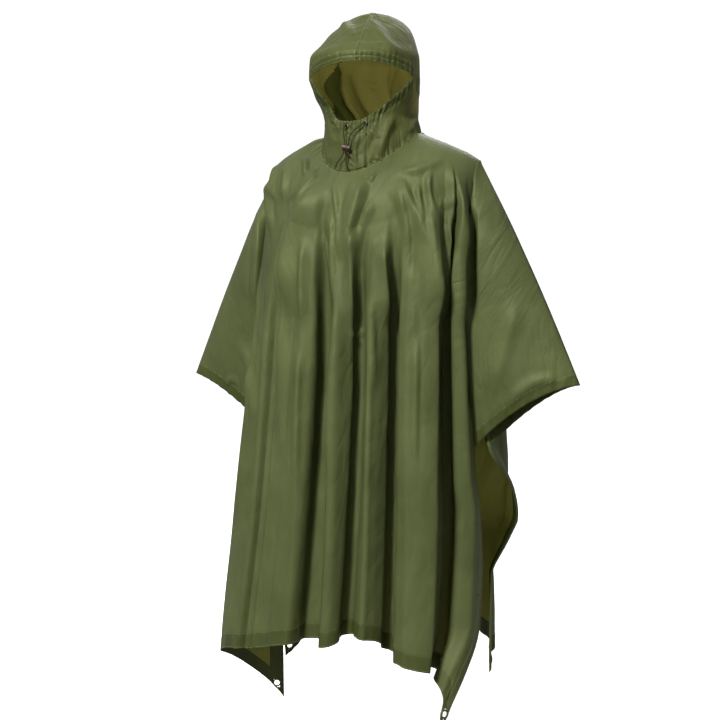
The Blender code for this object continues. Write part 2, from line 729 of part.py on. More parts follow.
def build_hood():
    """Both halves of the hood with their casings and the placket. Returns the places of the two
    throat eyelets with their normals."""
    columns = hood_columns()
    parted = columns <= OPENING_SPAN
    places = {}
    for h, hand in HAND.items():
        below = hood_below(hand, columns[None, :], HOOD_ROWS_BELOW[:, None])
        above = hood_above(hand, columns[None, :], HOOD_ROWS_ABOVE[:, None])
        side = (hand, 0, 0)
        sheet(f"hood_{h}", [below, above], side, CLOTH, TAFFETA)
        moved = {"chin": normals(below, side)[-2:, parted], "brim": normals(above, side)[:2, parted]}
        hem(f"casing_chin_{h}", below[-2:, parted], moved["chin"], side)
        hem(f"casing_brim_{h}", above[:2, parted], moved["brim"], side)
        places[h] = cell(below, -2, THROAT_EYELET_COLUMN[h], (0, -1, 0))
        if h == "left":
            strip = below[2:-1, 1:4]
            raised = strip + normals(below, side)[2:-1, 1:4] * (CLOTH + SEAM_GAP)
            sheet("throat_placket", [inset(raised, HEM_INSET)], (0, -1, 0), HEM_CLOTH, TAFFETA)
    return places


def build_drawcord(places):
    turn = math.radians(TOGGLE_TURN)
    lengthwise = np.array([math.cos(turn), 0, -math.sin(turn)])
    through = np.array([math.sin(turn), 0, math.cos(turn)])
    centre = np.array(TOGGLE_CENTRE)
    toggle = barrel("toggle", TOGGLE_RADIUS, TOGGLE_LENGTH, 0.0013, centre, lengthwise, BROWN_PLASTIC)
    for h, hand in HAND.items():
        middle, normal, bent = places[h]
        eyelet = middle + normal * (CLOTH + THROAT_EYELET[1] + SEAM_GAP + bent)
        ring(f"throat_eyelet_{h}", THROAT_EYELET, 12, eyelet, normal, BRASS)
        bore = centre + lengthwise * hand * TOGGLE_HOLES
        hole(toggle, CORD_RADIUS + CORD_CLEARANCE, 0.008, bore, through)
        knot = bore - through * KNOT_DROP[h]
        ring(f"knot_{h}", KNOT_RADII, 12, knot, through, BROWN_CORD)
        start = [middle + normal * (CLOTH + 0.0008), middle + normal * 0.0065]
        straight = [bore + through * 0.008, bore, bore - through * (KNOT_DROP[h] + 0.004)]
        route = smooth_route([*start, *CORD_ABOVE[h], *straight, *CORD_BELOW[h]], 2)
        cord(f"cord_{h}", route, OLIVE_CORD)


# ---------------------------------------------------------------- build
for old in list(bpy.data.objects):
    bpy.data.objects.remove(old, do_unlink=True)
WELD = 0.00002
PARTS = bpy.data.collections.new("rain_poncho")
CUTTERS = bpy.data.collections.new("cutters")
for group in (PARTS, CUTTERS):
    bpy.context.scene.collection.children.link(group)

TAFFETA = new_material("olive_coated_taffeta", (0.095, 0.110, 0.042), 0.45)
HEM_TAFFETA = new_material("olive_taffeta_hem", (0.075, 0.090, 0.034), 0.45)
OLIVE_CORD = new_material("dark_olive_cord", (0.040, 0.042, 0.024), 0.8)
BROWN_CORD = new_material("brown_cord_knot", (0.085, 0.045, 0.025), 0.8)
BROWN_PLASTIC = new_material("brown_plastic", (0.120, 0.055, 0.035), 0.4)
BRASS = new_material("blackened_brass", (0.060, 0.058, 0.050), 0.4, 1.0)

build_panel("front", FRONT, 2 * HOOD_COLUMNS, 12)
build_panel("back", BACK, 2 * HOOD_BACK_COLUMNS, 10)
build_drawcord(build_hood())
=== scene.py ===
"""Looks of a hooded rain poncho, worn with the hood up: thin cloth with its folds, creases, hems and
stitches, and the cord, toggle, eyelets and press studs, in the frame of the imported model.

Metres, +Z up. The wearer faces -Y and +X is the wearer's left. Each cloth starts from the same tables
as its solid, on a far finer grid, and then gets its creases, puckers and crumples.
"""

import math

import bpy
import numpy as np
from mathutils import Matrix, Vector


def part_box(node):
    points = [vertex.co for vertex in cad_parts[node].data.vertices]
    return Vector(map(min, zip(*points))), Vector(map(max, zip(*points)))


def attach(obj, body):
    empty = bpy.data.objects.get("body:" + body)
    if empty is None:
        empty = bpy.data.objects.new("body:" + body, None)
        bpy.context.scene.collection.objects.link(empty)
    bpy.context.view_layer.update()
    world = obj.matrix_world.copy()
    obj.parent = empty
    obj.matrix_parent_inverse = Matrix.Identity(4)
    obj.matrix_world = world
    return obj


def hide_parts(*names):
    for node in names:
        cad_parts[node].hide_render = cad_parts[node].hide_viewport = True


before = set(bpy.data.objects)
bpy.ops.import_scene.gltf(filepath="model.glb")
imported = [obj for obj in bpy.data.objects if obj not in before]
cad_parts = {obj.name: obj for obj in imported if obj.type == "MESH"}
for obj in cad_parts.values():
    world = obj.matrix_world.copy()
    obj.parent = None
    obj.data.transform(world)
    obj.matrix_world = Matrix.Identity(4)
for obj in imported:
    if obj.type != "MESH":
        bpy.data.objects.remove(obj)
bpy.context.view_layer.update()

# ---------------------------------------------------------------- driving dimensions, in metres
CLOTH = 0.0012  # wall of the solids' cloth: the hood's edge lies this far inside the neck hole

NECK_HALF = 0.115  # neck hole, half its width
NECK_FRONT = 0.125  # neck hole, from its middle to its front edge
NECK_BACK = 0.100  # and to its back edge
NECK_SIDE_HEIGHT = 0.002
NECK_FRONT_HEIGHT = -0.090
NECK_BACK_HEIGHT = 0.004
NECK_SPAN = 40.0  # degrees of the body on each side that hang from the neck hole
HALF_NECK_SEAM = 0.18  # cloth from the middle of the neck seam to its end

SHOULDER = (0.260, 0.015, -0.064)  # where the ridge turns down over the arm
SLEEVE_TIP = (0.495, 0.015, -0.558)  # the sleeve's outer corner
ARM_RIDGE_CROWN = 0.008  # how far the arm's ridge bows outwards
SLEEVE_BULGE = 0.034  # how far each side of the sleeve stands off its middle
UNDERARM = {1: -0.700, -1: -0.660}  # where a sleeve's two hems meet, left and right
SLEEVE_HEM = 0.031  # height of the sleeve hem at the underarm, 28 mm across the hem

CHEST_HEIGHT = -0.220  # where the cloth leaves the chest and hangs
CHEST_SIDE_HEIGHT = -0.120
HEM_WIDTH = 0.035
SIDE_HEM_ANGLE = 6.0  # degrees of the body that the side hem takes, about 28 mm

OPENING_SPAN = 67.5  # degrees of the face opening on each side
CROWN_HEIGHT = 0.280
DOME_HEIGHT = 0.120  # the crown is a dome from here up
HOOD_BACK_SPLIT = 0.140  # height of the opening's line at the back of the head
CASING_WIDTH = 0.024  # of the edge that holds the drawcord
NECK_TUCK = 0.006  # how far the hood reaches into the neck hole

CORD_RADIUS = 0.0013
CORD_CLEARANCE = 0.0004  # round the cord, in the toggle
TOGGLE_CENTRE = (0.0010, -0.1345, -0.0350)
TOGGLE_HOLES = 0.0046  # each hole's distance from the toggle's middle
TOGGLE_TURN = 11.0  # degrees by which the toggle's left end hangs lower
KNOT_DROP = {"right": 0.0064, "left": 0.0140}  # below the toggle's middle
KNOT_SIZE = 0.0010  # a third of how far the knot's loops reach from its middle
KNOT_CORD_RADIUS = 0.0011

CORNER_EYELET = (0.0062, 0.0100)  # radius of its hole and of its rim
THROAT_EYELET = (0.0030, 0.0052)
CORNER_HOLE_RADIUS = 0.0062  # of the hole in the cloth
THROAT_HOLE_RADIUS = 0.0031
HOLE_DEPTH = 0.012  # cloth within this distance of a hole's plane makes room for it


def table(names, rows):
    """A table with named columns, as a dictionary of arrays."""
    return dict(zip(names.split(), np.array(rows, float).T))


# The body as a horizontal oval at each height: half its width, how far it reaches forwards and
# back from its middle, and where its middle lies.
BODY = table(
    "height half_width front back middle_x middle_y",
    [
        (-1.40, 0.312, 0.205, 0.250, -0.046, -0.055),
        (-1.20, 0.306, 0.200, 0.245, -0.042, -0.050),
        (-0.90, 0.290, 0.190, 0.235, -0.026, -0.034),
        (-0.60, 0.278, 0.184, 0.215, -0.014, -0.018),
        (-0.30, 0.270, 0.172, 0.190, -0.005, -0.006),
        (-0.12, 0.264, 0.160, 0.165, 0.000, 0.006),
        (0.02, 0.260, 0.150, 0.150, 0.000, 0.010),
    ],
)

# Folds: the angle at which each starts, its reach outwards (inwards where negative), its half width in
# degrees, the height at which it starts, the height from which it is full, and by how many degrees
# it moves with each metre down the cloth.
ROUND_FOLDS = "angle reach half_width start full drift"
FRONT_FOLDS = table(
    ROUND_FOLDS,
    [
        (-88, -0.020, 6.0, -0.10, -0.35, 0),
        (-88, 0.014, 6.0, -0.48, -0.62, 0),
        (-72, 0.014, 9.0, -0.20, -0.80, 4),
        (-54, -0.014, 6.0, -0.30, -0.90, 3),
        (-38, -0.016, 4.0, -0.16, -0.50, 0),
        (-23, 0.014, 5.5, -0.20, -0.60, 5),
        (-8.5, -0.042, 5.5, -0.16, -0.60, 9),
        (2, 0.012, 4.0, -0.20, -0.60, 7),
        (11, -0.037, 5.0, -0.20, -0.60, 4),
        (19.5, 0.014, 4.0, -0.20, -0.60, 6),
        (27.5, -0.042, 5.5, -0.22, -0.55, 8),
        (45, 0.018, 10.0, -0.15, -0.60, 4),
        (66, -0.058, 6.5, -0.18, -0.55, 2),
        (78, 0.010, 5.0, -0.10, -0.40, 2),
        (88, -0.034, 5.5, -0.10, -0.35, 0),
        (88, 0.034, 5.5, -0.50, -0.66, 0),
        (90, 0.016, 9.0, -0.70, -1.00, 0),
    ],
)
BACK_FOLDS = table(
    ROUND_FOLDS,
    [
        (-72, 0.012, 10.0, -0.20, -0.70, 3),
        (-56, -0.018, 10.0, -0.20, -0.70, 0),
        (-38, 0.014, 9.0, -0.20, -0.70, -3),
        (-22, -0.030, 7.0, -0.28, -0.75, 0),
        (-8, 0.012, 7.0, -0.30, -0.80, 3),
        (8, -0.032, 6.5, -0.34, -0.80, 0),
        (24, 0.014, 8.0, -0.30, -0.80, -3),
        (42, -0.022, 9.0, -0.22, -0.70, 0),
        (68, 0.056, 14.0, -0.20, -0.66, 6),
        (88, 0.074, 15.0, -0.66, -0.90, 0),
        (86, -0.080, 17.0, -0.88, -0.99, 0),
        (89, -0.024, 7.0, -0.20, -0.50, 0),
        (89, 0.038, 6.0, -0.48, -0.64, 0),
    ],
)

# The line at which a panel leaves the body: the sleeve's root down to the underarm, and the free
# side edge below it, as an angle from the panel's centre at each height.
SLEEVE_ROOT = [(-0.50, 83), (-0.30, 77), (-0.12, 80), (0.00, 84)]


def side_edge(*rows):
    """A panel's free side edge from its corner up to the underarm, and the sleeve's root above it."""
    return table("height angle", [*rows, *SLEEVE_ROOT])


FRONT_EDGE_LEFT = side_edge(
    (-1.30, 62), (-1.25, 68), (-1.18, 79), (-1.08, 95), (-0.85, 98), (-0.77, 92), (-0.70, 89.3)
)
FRONT_EDGE_RIGHT = side_edge(
    (-1.34, 130), (-1.20, 128), (-1.00, 116), (-0.85, 104), (-0.74, 93), (-0.66, 89.3)
)
BACK_EDGE_LEFT = side_edge(
    (-1.26, 80), (-1.10, 78), (-0.98, 72), (-0.90, 56), (-0.83, 62), (-0.76, 78), (-0.70, 89.3)
)
BACK_EDGE_RIGHT = side_edge(
    (-1.30, 52), (-1.10, 57), (-0.95, 65), (-0.80, 75), (-0.72, 84), (-0.66, 89.3)
)

# Height of the bottom hem, which drops to a corner at each side.
FRONT_HEM = table(
    "angle height",
    [
        (-90, -1.345),
        (-82, -1.292),
        (-70, -1.222),
        (-56, -1.180),
        (-32, -1.155),
        (-12, -1.130),
        (0, -1.120),
        (6, -1.126),
        (19, -1.097),
        (28, -1.104),
        (38, -1.146),
        (57, -1.170),
        (68, -1.176),
        (78, -1.214),
        (90, -1.302),
    ],
)
BACK_HEM = table(
    "angle height",
    [
        (-90, -1.250),
        (-70, -1.190),
        (-45, -1.125),
        (-20, -1.090),
        (0, -1.110),
        (20, -1.085),
        (45, -1.115),
        (70, -1.150),
        (90, -1.200),
    ],
)

# The hood as a turned oval at each height, and how far it is turned towards the wearer's left.
HOOD = table(
    "height half_width front back middle_y turn",
    [
        (-0.10, 0.1120, 0.124, 0.100, 0.000, 0),
        (-0.03, 0.1075, 0.120, 0.100, 0.000, 0),
        (0.03, 0.1070, 0.119, 0.104, -0.001, 2),
        (0.06, 0.1110, 0.120, 0.112, -0.010, 8),
        (0.09, 0.1190, 0.122, 0.124, -0.030, 15),
        (0.13, 0.1250, 0.124, 0.132, -0.042, 19),
        (0.17, 0.1235, 0.129, 0.134, -0.041, 20),
        (0.20, 0.1095, 0.116, 0.126, -0.023, 20),
        (0.23, 0.0935, 0.096, 0.112, -0.007, 20),
        (0.25, 0.0770, 0.076, 0.092, 0.004, 20),
        (0.267, 0.0540, 0.054, 0.062, 0.006, 20),
        (0.277, 0.0270, 0.027, 0.032, 0.006, 20),
        (CROWN_HEIGHT, 0.0, 0.0, 0.0, 0.006, 20),
    ],
)
HOOD_FOLDS = table(
    ROUND_FOLDS,
    [
        (-150, -0.016, 9.0, 0.16, 0.08, 0.0),
        (-112, -0.010, 9.0, 0.14, 0.06, 0.0),
        (112, -0.012, 9.0, 0.14, 0.06, 0.0),
        (146, -0.020, 8.0, 0.17, 0.08, 0.0),
    ],
)
# Height of the face opening's chin edge and of its brim, by the angle from the hood's front.
OPENING = table(
    "angle chin brim",
    [
        (0, 0.024, 0.151),
        (14, 0.027, 0.150),
        (28, 0.044, 0.145),
        (46, 0.080, 0.138),
        (58, 0.102, 0.132),
        (OPENING_SPAN, 0.124, 0.124),
    ],
)

# The drawcord's two free stretches: from the eyelet down to the toggle, and from there to the end.
CORD_ABOVE = {
    "right": [(-0.0062, -0.1300, 0.0100), (-0.0054, -0.1335, -0.0020), (-0.0030, -0.1345, -0.0180)],
    "left": [(0.0290, -0.1250, 0.0110), (0.0190, -0.1310, 0.0010), (0.0100, -0.1342, -0.0120)],
}
CORD_BELOW = {
    "right": [
        (-0.0074, -0.1347, -0.0520),
        (-0.0130, -0.1350, -0.0600),
        (-0.0200, -0.1350, -0.0680),
        (-0.0250, -0.1350, -0.0790),
    ],
    "left": [
        (0.0030, -0.1347, -0.0580),
        (0.0018, -0.1352, -0.0660),
        (0.0026, -0.1358, -0.0750),
        (0.0050, -0.1364, -0.0830),
    ],
}


# ---------------------------------------------------------------- small tools
def curve(rows, of, by, at):
    """Reads a table's column at any place, on a smooth curve through its rows that never overshoots."""
    x, y = rows[by], rows[of]
    if x[0] > x[-1]:
        x, y = x[::-1], y[::-1]
    step = np.diff(y) / np.diff(x)
    product = step[:-1] * step[1:]
    total = np.where(step[:-1] + step[1:] == 0, 1.0, step[:-1] + step[1:])
    inner = np.where(product > 0, 2 * product / total, 0.0)
    slope = np.concatenate([[step[0]], inner, [step[-1]]])
    at = np.clip(at, x[0], x[-1])
    k = np.clip(np.searchsorted(x, at, side="right") - 1, 0, len(x) - 2)
    width = x[k + 1] - x[k]
    t = (at - x[k]) / width
    return (
        (2 * t**3 - 3 * t**2 + 1) * y[k]
        + (t**3 - 2 * t**2 + t) * width * slope[k]
        + (3 * t**2 - 2 * t**3) * y[k + 1]
        + (t**3 - t**2) * width * slope[k + 1]
    )


def ease(x):
    x = np.clip(x, 0.0, 1.0)
    return x * x * (3 - 2 * x)


def each_fold(folds, angle, height):
    """Each fold's row, how much of it has grown at a height, and how far an angle is from its line."""
    for row in zip(*folds.values()):
        fold = dict(zip(folds, row))
        below = fold["start"] - height
        line = fold["angle"] + fold["drift"] * np.maximum(below, 0)
        yield fold, ease(below / (fold["start"] - fold["full"])), angle - line


def fold_reach(folds, angle, height):
    """How far rounded folds move the cloth outwards at an angle and a height."""
    reach = np.zeros(np.broadcast(angle, height).shape)
    for fold, grown, off in each_fold(folds, angle, height):
        reach = reach + fold["reach"] * grown * np.exp(-((off / fold["half_width"]) ** 2))
    return reach


def smooth_route(points, steps):
    """Points along a smooth curve through the route's points."""
    points = np.array(points, float)
    extended = np.concatenate([[2 * points[0] - points[1]], points, [2 * points[-1] - points[-2]]])
    route = []
    for k in range(len(points) - 1):
        a, b, c, d = extended[k : k + 4]
        for t in np.arange(steps) / steps:
            bend = (2 * a - 5 * b + 4 * c - d) * t**2 + (3 * b - a - 3 * c + d) * t**3
            route.append(0.5 * (2 * b + (c - a) * t + bend))
    return np.array([*route, points[-1]])


# ---------------------------------------------------------------- the form of the panels
class Panel:
    """One half of the cloth: the front (side -1) or the back (side +1)."""

    def __init__(self, side, depth, neck_depth, neck_height, folds, hem, edges, gathered_from):
        self.side = side
        self.depth = depth
        self.neck_depth = neck_depth
        self.neck_height = neck_height
        self.folds = folds
        self.hem = hem
        self.edge_left, self.edge_right = edges
        self.gathered_from = gathered_from  # the angle beyond which the free side edge draws the cloth along

    def hanging(self, angle, height):
        """A point of the hanging cloth, by its angle in the panel and its height."""
        edge = np.where(
            angle > 0,
            curve(self.edge_left, "angle", "height", height),
            curve(self.edge_right, "angle", "height", height),
        )
        gathered = ease((np.abs(angle) - self.gathered_from) / (90 - self.gathered_from))
        turned = np.radians(angle + np.sign(angle) * gathered * (edge - 90))
        wide = curve(BODY, "half_width", "height", height)
        deep = curve(BODY, self.depth, "height", height)
        reach = fold_reach(self.folds, angle, height)
        out_x, out_y = deep * np.sin(turned), wide * np.cos(turned)
        length = np.hypot(out_x, out_y)
        x = curve(BODY, "middle_x", "height", height) + wide * np.sin(turned) + reach * out_x / length
        y = curve(BODY, "middle_y", "height", height)
        y = y + self.side * (deep * np.cos(turned) + reach * out_y / length)
        return np.stack(np.broadcast_arrays(x, y, height), axis=-1)

    def chest_height(self, angle):
        return CHEST_HEIGHT + (CHEST_SIDE_HEIGHT - CHEST_HEIGHT) * ease(np.abs(angle) / 80)

    def neck_edge(self, angle):
        """The neck hole's edge, by the angle round the hole: 0 at its centre front (or back)."""
        a = np.radians(angle)
        height = NECK_SIDE_HEIGHT + (self.neck_height - NECK_SIDE_HEIGHT) * np.cos(a) ** 1.3
        return np.stack([NECK_HALF * np.sin(a), self.side * self.neck_depth * np.cos(a), height], axis=-1)

    def ridge(self, angle):
        """The shoulder ridge from the neck hole to the shoulder, on both sides of the neck."""
        outside = np.clip((np.abs(angle) - NECK_SPAN) / (90 - NECK_SPAN), 0, 1)
        along = outside**0.72
        x = NECK_HALF + (SHOULDER[0] - NECK_HALF) * along
        y = SHOULDER[1] * along
        z = NECK_SIDE_HEIGHT + (SHOULDER[2] - NECK_SIDE_HEIGHT) * (0.86 * along + 0.14 * along**4)
        return np.stack([np.sign(angle) * x, y, z], axis=-1)

    def over_the_shoulder(self, angle, share):
        """From the ridge or the neck hole (share 0) over the chest to where the cloth hangs (1)."""
        end = self.hanging(angle, self.chest_height(angle))
        # Beside the neck hole the sheet is the same dome, entered part of the way along.
        hole = self.neck_edge(np.clip(angle / NECK_SPAN, -1, 1) * 90)
        reached = np.clip(hole[..., 1] / end[..., 1], 0, 0.97)
        entered = np.arcsin(reached)
        start_xy = (hole[..., :2] - end[..., :2] * reached[..., None]) / (1 - reached[..., None])
        start_z = (hole[..., 2] - end[..., 2] * (1 - np.cos(entered))) / np.cos(entered)
        dome = np.concatenate([start_xy, start_z[..., None]], axis=-1)
        inside = np.abs(angle) < NECK_SPAN
        first = np.where(inside[..., None], dome, self.ridge(angle))
        turn = np.where(inside, entered, 0.0)
        turn = turn + (math.pi / 2 - turn) * share
        point = first + (end - first) * np.sin(turn)[..., None]
        point[..., 2] = first[..., 2] + (end - first)[..., 2] * (1 - np.cos(turn))
        return point

    def body(self, angle, row):
        """A point of the panel between its side lines. Rows: 0 to 1 over the chest, 1 to 2 down to
        the sleeve hem, 2 to 3 along that hem, 3 to 4 down to the bottom hem, 4 to 5 along it."""
        angle, row = np.broadcast_arrays(np.asarray(angle, float), np.asarray(row, float))
        hem = curve(self.hem, "height", "angle", angle)
        underarm = np.interp(angle, (-90, 90), (UNDERARM[-1], UNDERARM[1]))
        stops = [self.chest_height(angle), underarm + SLEEVE_HEM, underarm, hem + HEM_WIDTH, hem]
        height = stops[0] + np.zeros_like(row)
        for k in range(4):
            height = height + (stops[k + 1] - stops[k]) * np.clip(row - 1 - k, 0, 1)
        over = self.over_the_shoulder(angle, np.clip(row, 0, 1))
        return np.where((row < 1)[..., None], over, self.hanging(angle, height))

    def sleeve(self, hand, out, row):
        """A point of the sleeve on the wearer's left (hand 1) or right (-1): out is 0 at the body
        and 1 on the ridge, row runs from 0 at the shoulder to 3 at the sleeve's hem."""
        out, row = np.broadcast_arrays(np.asarray(out, float), np.asarray(row, float))
        root = self.body(np.full(row.shape, 90.0 * hand), row)
        down = np.clip((SHOULDER[2] - root[..., 2]) / (SHOULDER[2] - UNDERARM[hand]), 0, 1)
        start, end = np.array(SHOULDER), np.array(SLEEVE_TIP)
        ridge = start + (end - start) * down[..., None]
        ridge[..., 0] += ARM_RIDGE_CROWN * np.sin(math.pi * down)
        ridge[..., 0] *= hand
        point = root + (ridge - root) * out[..., None]
        # The hem leaves the tip nearly level and falls steeply at the body.
        lift = (1 - out) - (1 - out) ** 1.7
        point[..., 2] += lift * down**3 * (ridge - root)[..., 2] * 0.9
        bulge = SLEEVE_BULGE * ease(down / 0.35) * (1 - 0.5 * down**3) * (4 * out * (1 - out)) ** 0.6
        point[..., 1] += self.side * bulge
        return point


FRONT_EDGES = (FRONT_EDGE_LEFT, FRONT_EDGE_RIGHT)
BACK_EDGES = (BACK_EDGE_LEFT, BACK_EDGE_RIGHT)
FRONT = Panel(-1, "front", NECK_FRONT, NECK_FRONT_HEIGHT, FRONT_FOLDS, FRONT_HEM, FRONT_EDGES, 46)
BACK = Panel(1, "back", NECK_BACK, NECK_BACK_HEIGHT, BACK_FOLDS, BACK_HEM, BACK_EDGES, 20)


# ---------------------------------------------------------------- the form of the hood
def hood_ring(hand, angle, height):
    """A point of the hood's left (hand 1) or right half: angle is 0 at its front and 180 behind."""
    a = np.radians(angle)
    wide = curve(HOOD, "half_width", "height", height)
    front = curve(HOOD, "front", "height", height)
    back = curve(HOOD, "back", "height", height)
    deep = np.where(np.cos(a) > 0, front, back)
    reach = fold_reach(HOOD_FOLDS, hand * angle, height)
    across = hand * (wide + reach) * np.sin(a)
    along = -(deep + reach) * np.cos(a)
    turn = np.radians(curve(HOOD, "turn", "height", height))
    x = across * np.cos(turn) - along * np.sin(turn)
    y = across * np.sin(turn) + along * np.cos(turn) + curve(HOOD, "middle_y", "height", height)
    return np.stack(np.broadcast_arrays(x, y, height), axis=-1)


def neck_ring(hand, angle):
    """The hood's lower edge, just inside the neck hole and on the same chords."""
    point = np.where(
        (angle <= 90)[..., None],
        FRONT.neck_edge(hand * np.minimum(angle, 90)),
        BACK.neck_edge(hand * (180 - np.maximum(angle, 90))),
    )
    radius = np.hypot(point[..., 0], point[..., 1])
    point[..., :2] *= (1 - CLOTH / radius)[..., None]
    return point


def hood_split(angle, edge):
    """Height of the line that parts at the face opening, as its chin or its brim edge."""
    front = curve(OPENING, edge, "angle", np.minimum(angle, OPENING_SPAN))
    behind = np.clip((angle - OPENING_SPAN) / (180 - OPENING_SPAN), 0, 1)
    return front + (HOOD_BACK_SPLIT - front) * ease(behind) * (angle > OPENING_SPAN)


def hood_below(hand, angle, row):
    """The hood below the opening's line. Rows: -1 to 0 inside the neck hole, 0 to 1 up to the
    casing, 1 to 2 along the casing."""
    angle, row = np.broadcast_arrays(np.asarray(angle, float), np.asarray(row, float))
    base = neck_ring(hand, angle)
    top = hood_split(angle, "chin")
    height = base[..., 2] + np.clip(row, -1, 0) * NECK_TUCK
    height = height + (top - CASING_WIDTH - base[..., 2]) * np.clip(row, 0, 1)
    height = height + CASING_WIDTH * np.clip(row - 1, 0, 1)
    point = hood_ring(hand, angle, height)
    free = ease(row / 0.5)[..., None]
    point[..., :2] = base[..., :2] + (point[..., :2] - base[..., :2]) * free
    return point


def hood_above(hand, angle, row):
    """The hood above the opening's line. Rows: 0 to 1 along the casing, 1 to 2 up to the crown."""
    angle, row = np.broadcast_arrays(np.asarray(angle, float), np.asarray(row, float))
    rise = CROWN_HEIGHT - DOME_HEIGHT
    start = hood_split(angle, "brim")
    lower = np.arcsin((start - DOME_HEIGHT) / rise)
    upper = np.arcsin((start + CASING_WIDTH * 0.92 - DOME_HEIGHT) / rise)
    turn = lower + (upper - lower) * np.clip(row, 0, 1) + (math.pi / 2 - upper) * np.clip(row - 1, 0, 1)
    return hood_ring(hand, angle, DOME_HEIGHT + rise * np.sin(turn))


# ---------------------------------------------------------------- the stage
CAMERA_AZIMUTH = 27.0  # degrees towards the wearer's left
CAMERA_DISTANCE = 3.5
CAMERA_HEIGHT = -0.33
METRES_PER_PIXEL = 0.0023  # at the neck's distance
FRAME_PIXELS = 720
SENSOR_MILLIMETRES = 36
CAMERA_PITCH = -0.44  # degrees above the level
VIEW_SHIFT = (-0.030, -0.157)  # of the picture's middle, right and up, at the neck's distance
VIEW_END = 100
LIGHT_AIM = Vector((0, 0, -0.5))  # the middle of the cloth
# Each light's name, its angle from the front to the wearer's left in degrees, its height, its
# distance, its width and its watts.
LIGHTS = (
    ("key_light", 1, 2.6, 4.2, 0.8, 840),
    ("back_light", 196, 2.6, 4.0, 2.4, 110),
)
FLOOR_HEIGHT = -1.50
FLOOR_SIZE = 60
ROOM_GLOW = (0.36, 1.6)  # of the room's walls and of its ceiling
ROOM_SEEN = 1.1  # how bright the room looks to the camera


def make_camera():
    scene = bpy.context.scene
    data = bpy.data.cameras.new("camera")
    camera = bpy.data.objects.new("camera", data)
    scene.collection.objects.link(camera)
    turn = math.radians(CAMERA_AZIMUTH)
    ahead = Vector((-math.sin(turn), math.cos(turn), 0))
    camera.location = -ahead * CAMERA_DISTANCE + Vector((0, 0, CAMERA_HEIGHT))
    aim = ahead + Vector((0, 0, math.tan(math.radians(CAMERA_PITCH))))
    camera.rotation_euler = aim.to_track_quat("-Z", "Y").to_euler()
    width = METRES_PER_PIXEL * FRAME_PIXELS
    data.sensor_width = SENSOR_MILLIMETRES
    data.lens = SENSOR_MILLIMETRES * CAMERA_DISTANCE / width
    data.shift_x, data.shift_y = VIEW_SHIFT[0] / width, VIEW_SHIFT[1] / width
    data.clip_end = VIEW_END
    scene.camera = camera


def make_light(name, azimuth, height, distance, size, watts):
    """A square white softbox aimed at the middle of the cloth."""
    data = bpy.data.lights.new(name, "AREA")
    data.size = size
    data.energy = watts
    light = bpy.data.objects.new(name, data)
    bpy.context.scene.collection.objects.link(light)
    turn = math.radians(azimuth)
    light.location = (distance * math.sin(turn), -distance * math.cos(turn), height)
    light.rotation_euler = (LIGHT_AIM - light.location).to_track_quat("-Z", "Y").to_euler()


def make_floor():
    """A plain pale floor. Less light bounces off it than it shows."""
    bpy.ops.mesh.primitive_plane_add(size=FLOOR_SIZE, location=(0, 0, FLOOR_HEIGHT))
    floor = bpy.context.object
    floor.name = "floor"
    material, tree = new_material("matt_white_floor")
    colour = between(tree, seen_by_camera(tree), linear("#9A9A98"), linear("#FAFAF8"))
    floor.data.materials.append(surface(material, "ShaderNodeBsdfDiffuse", {"Color": colour}))


def pale_room():
    """A white room whose walls give less light than its ceiling."""
    world = bpy.data.worlds.new("pale_room")
    world.use_nodes = True
    tree = world.node_tree
    upwards = add_node(tree, "ShaderNodeTexCoord").outputs["Generated"]
    height = add_node(tree, "ShaderNodeSeparateXYZ", {"Vector": upwards}).outputs["Z"]
    shades = {"Factor": seen_by_camera(tree), 2: ranged(tree, height, (0.0, 1.0), ROOM_GLOW), 3: ROOM_SEEN}
    strength = add_node(tree, "ShaderNodeMix", shades).outputs[0]
    tree.links.new(strength, tree.nodes["Background"].inputs["Strength"])
    tree.nodes["Background"].inputs["Color"].default_value = linear("#FFFFFF")
    return world


# ---------------------------------------------------------------- shader nodes
def linear(hex_colour):
    """The opaque linear RGBA value of an sRGB hex colour."""
    parts = [int(hex_colour[k : k + 2], 16) / 255 for k in (1, 3, 5)]
    return (*[c / 12.92 if c <= 0.04045 else ((c + 0.055) / 1.055) ** 2.4 for c in parts], 1.0)


def add_node(tree, kind, inputs=None, **settings):
    """Adds a node. inputs gives each socket, by name or number, a value or another node's socket."""
    made = tree.nodes.new(kind)
    for name, value in settings.items():
        setattr(made, name, value)
    for name, value in (inputs or {}).items():
        if isinstance(value, bpy.types.NodeSocket):
            tree.links.new(value, made.inputs[name])
        else:
            made.inputs[name].default_value = value
    return made


def new_material(name):
    material = bpy.data.materials.new(name)
    material.use_nodes = True
    material.node_tree.nodes.clear()
    return material, material.node_tree


def surface(material, kind, skin):
    """Gives a material its surface: a shader of a kind, with these inputs."""
    shader = add_node(material.node_tree, kind, skin)
    add_node(material.node_tree, "ShaderNodeOutputMaterial", {"Surface": shader.outputs[0]})
    return material


def seen_by_camera(tree):
    """1 where the camera looks straight at the surface, 0 where light only bounces off it."""
    return add_node(tree, "ShaderNodeLightPath").outputs["Is Camera Ray"]


def where_on_piece(tree):
    return add_node(tree, "ShaderNodeTexCoord").outputs["Object"]


def where_on_cloth(tree):
    """The place on the weave map, in metres."""
    return add_node(tree, "ShaderNodeUVMap", uv_map="weave").outputs["UV"]


def noise(tree, place, scale, detail, roughness=0.5, distortion=0.0):
    """Soft noise from 0 to 1, with about so many lumps in a metre as its scale."""
    lumpy = {"Vector": place, "Scale": scale, "Detail": detail}
    lumpy |= {"Roughness": roughness, "Distortion": distortion}
    return add_node(tree, "ShaderNodeTexNoise", lumpy).outputs["Fac"]


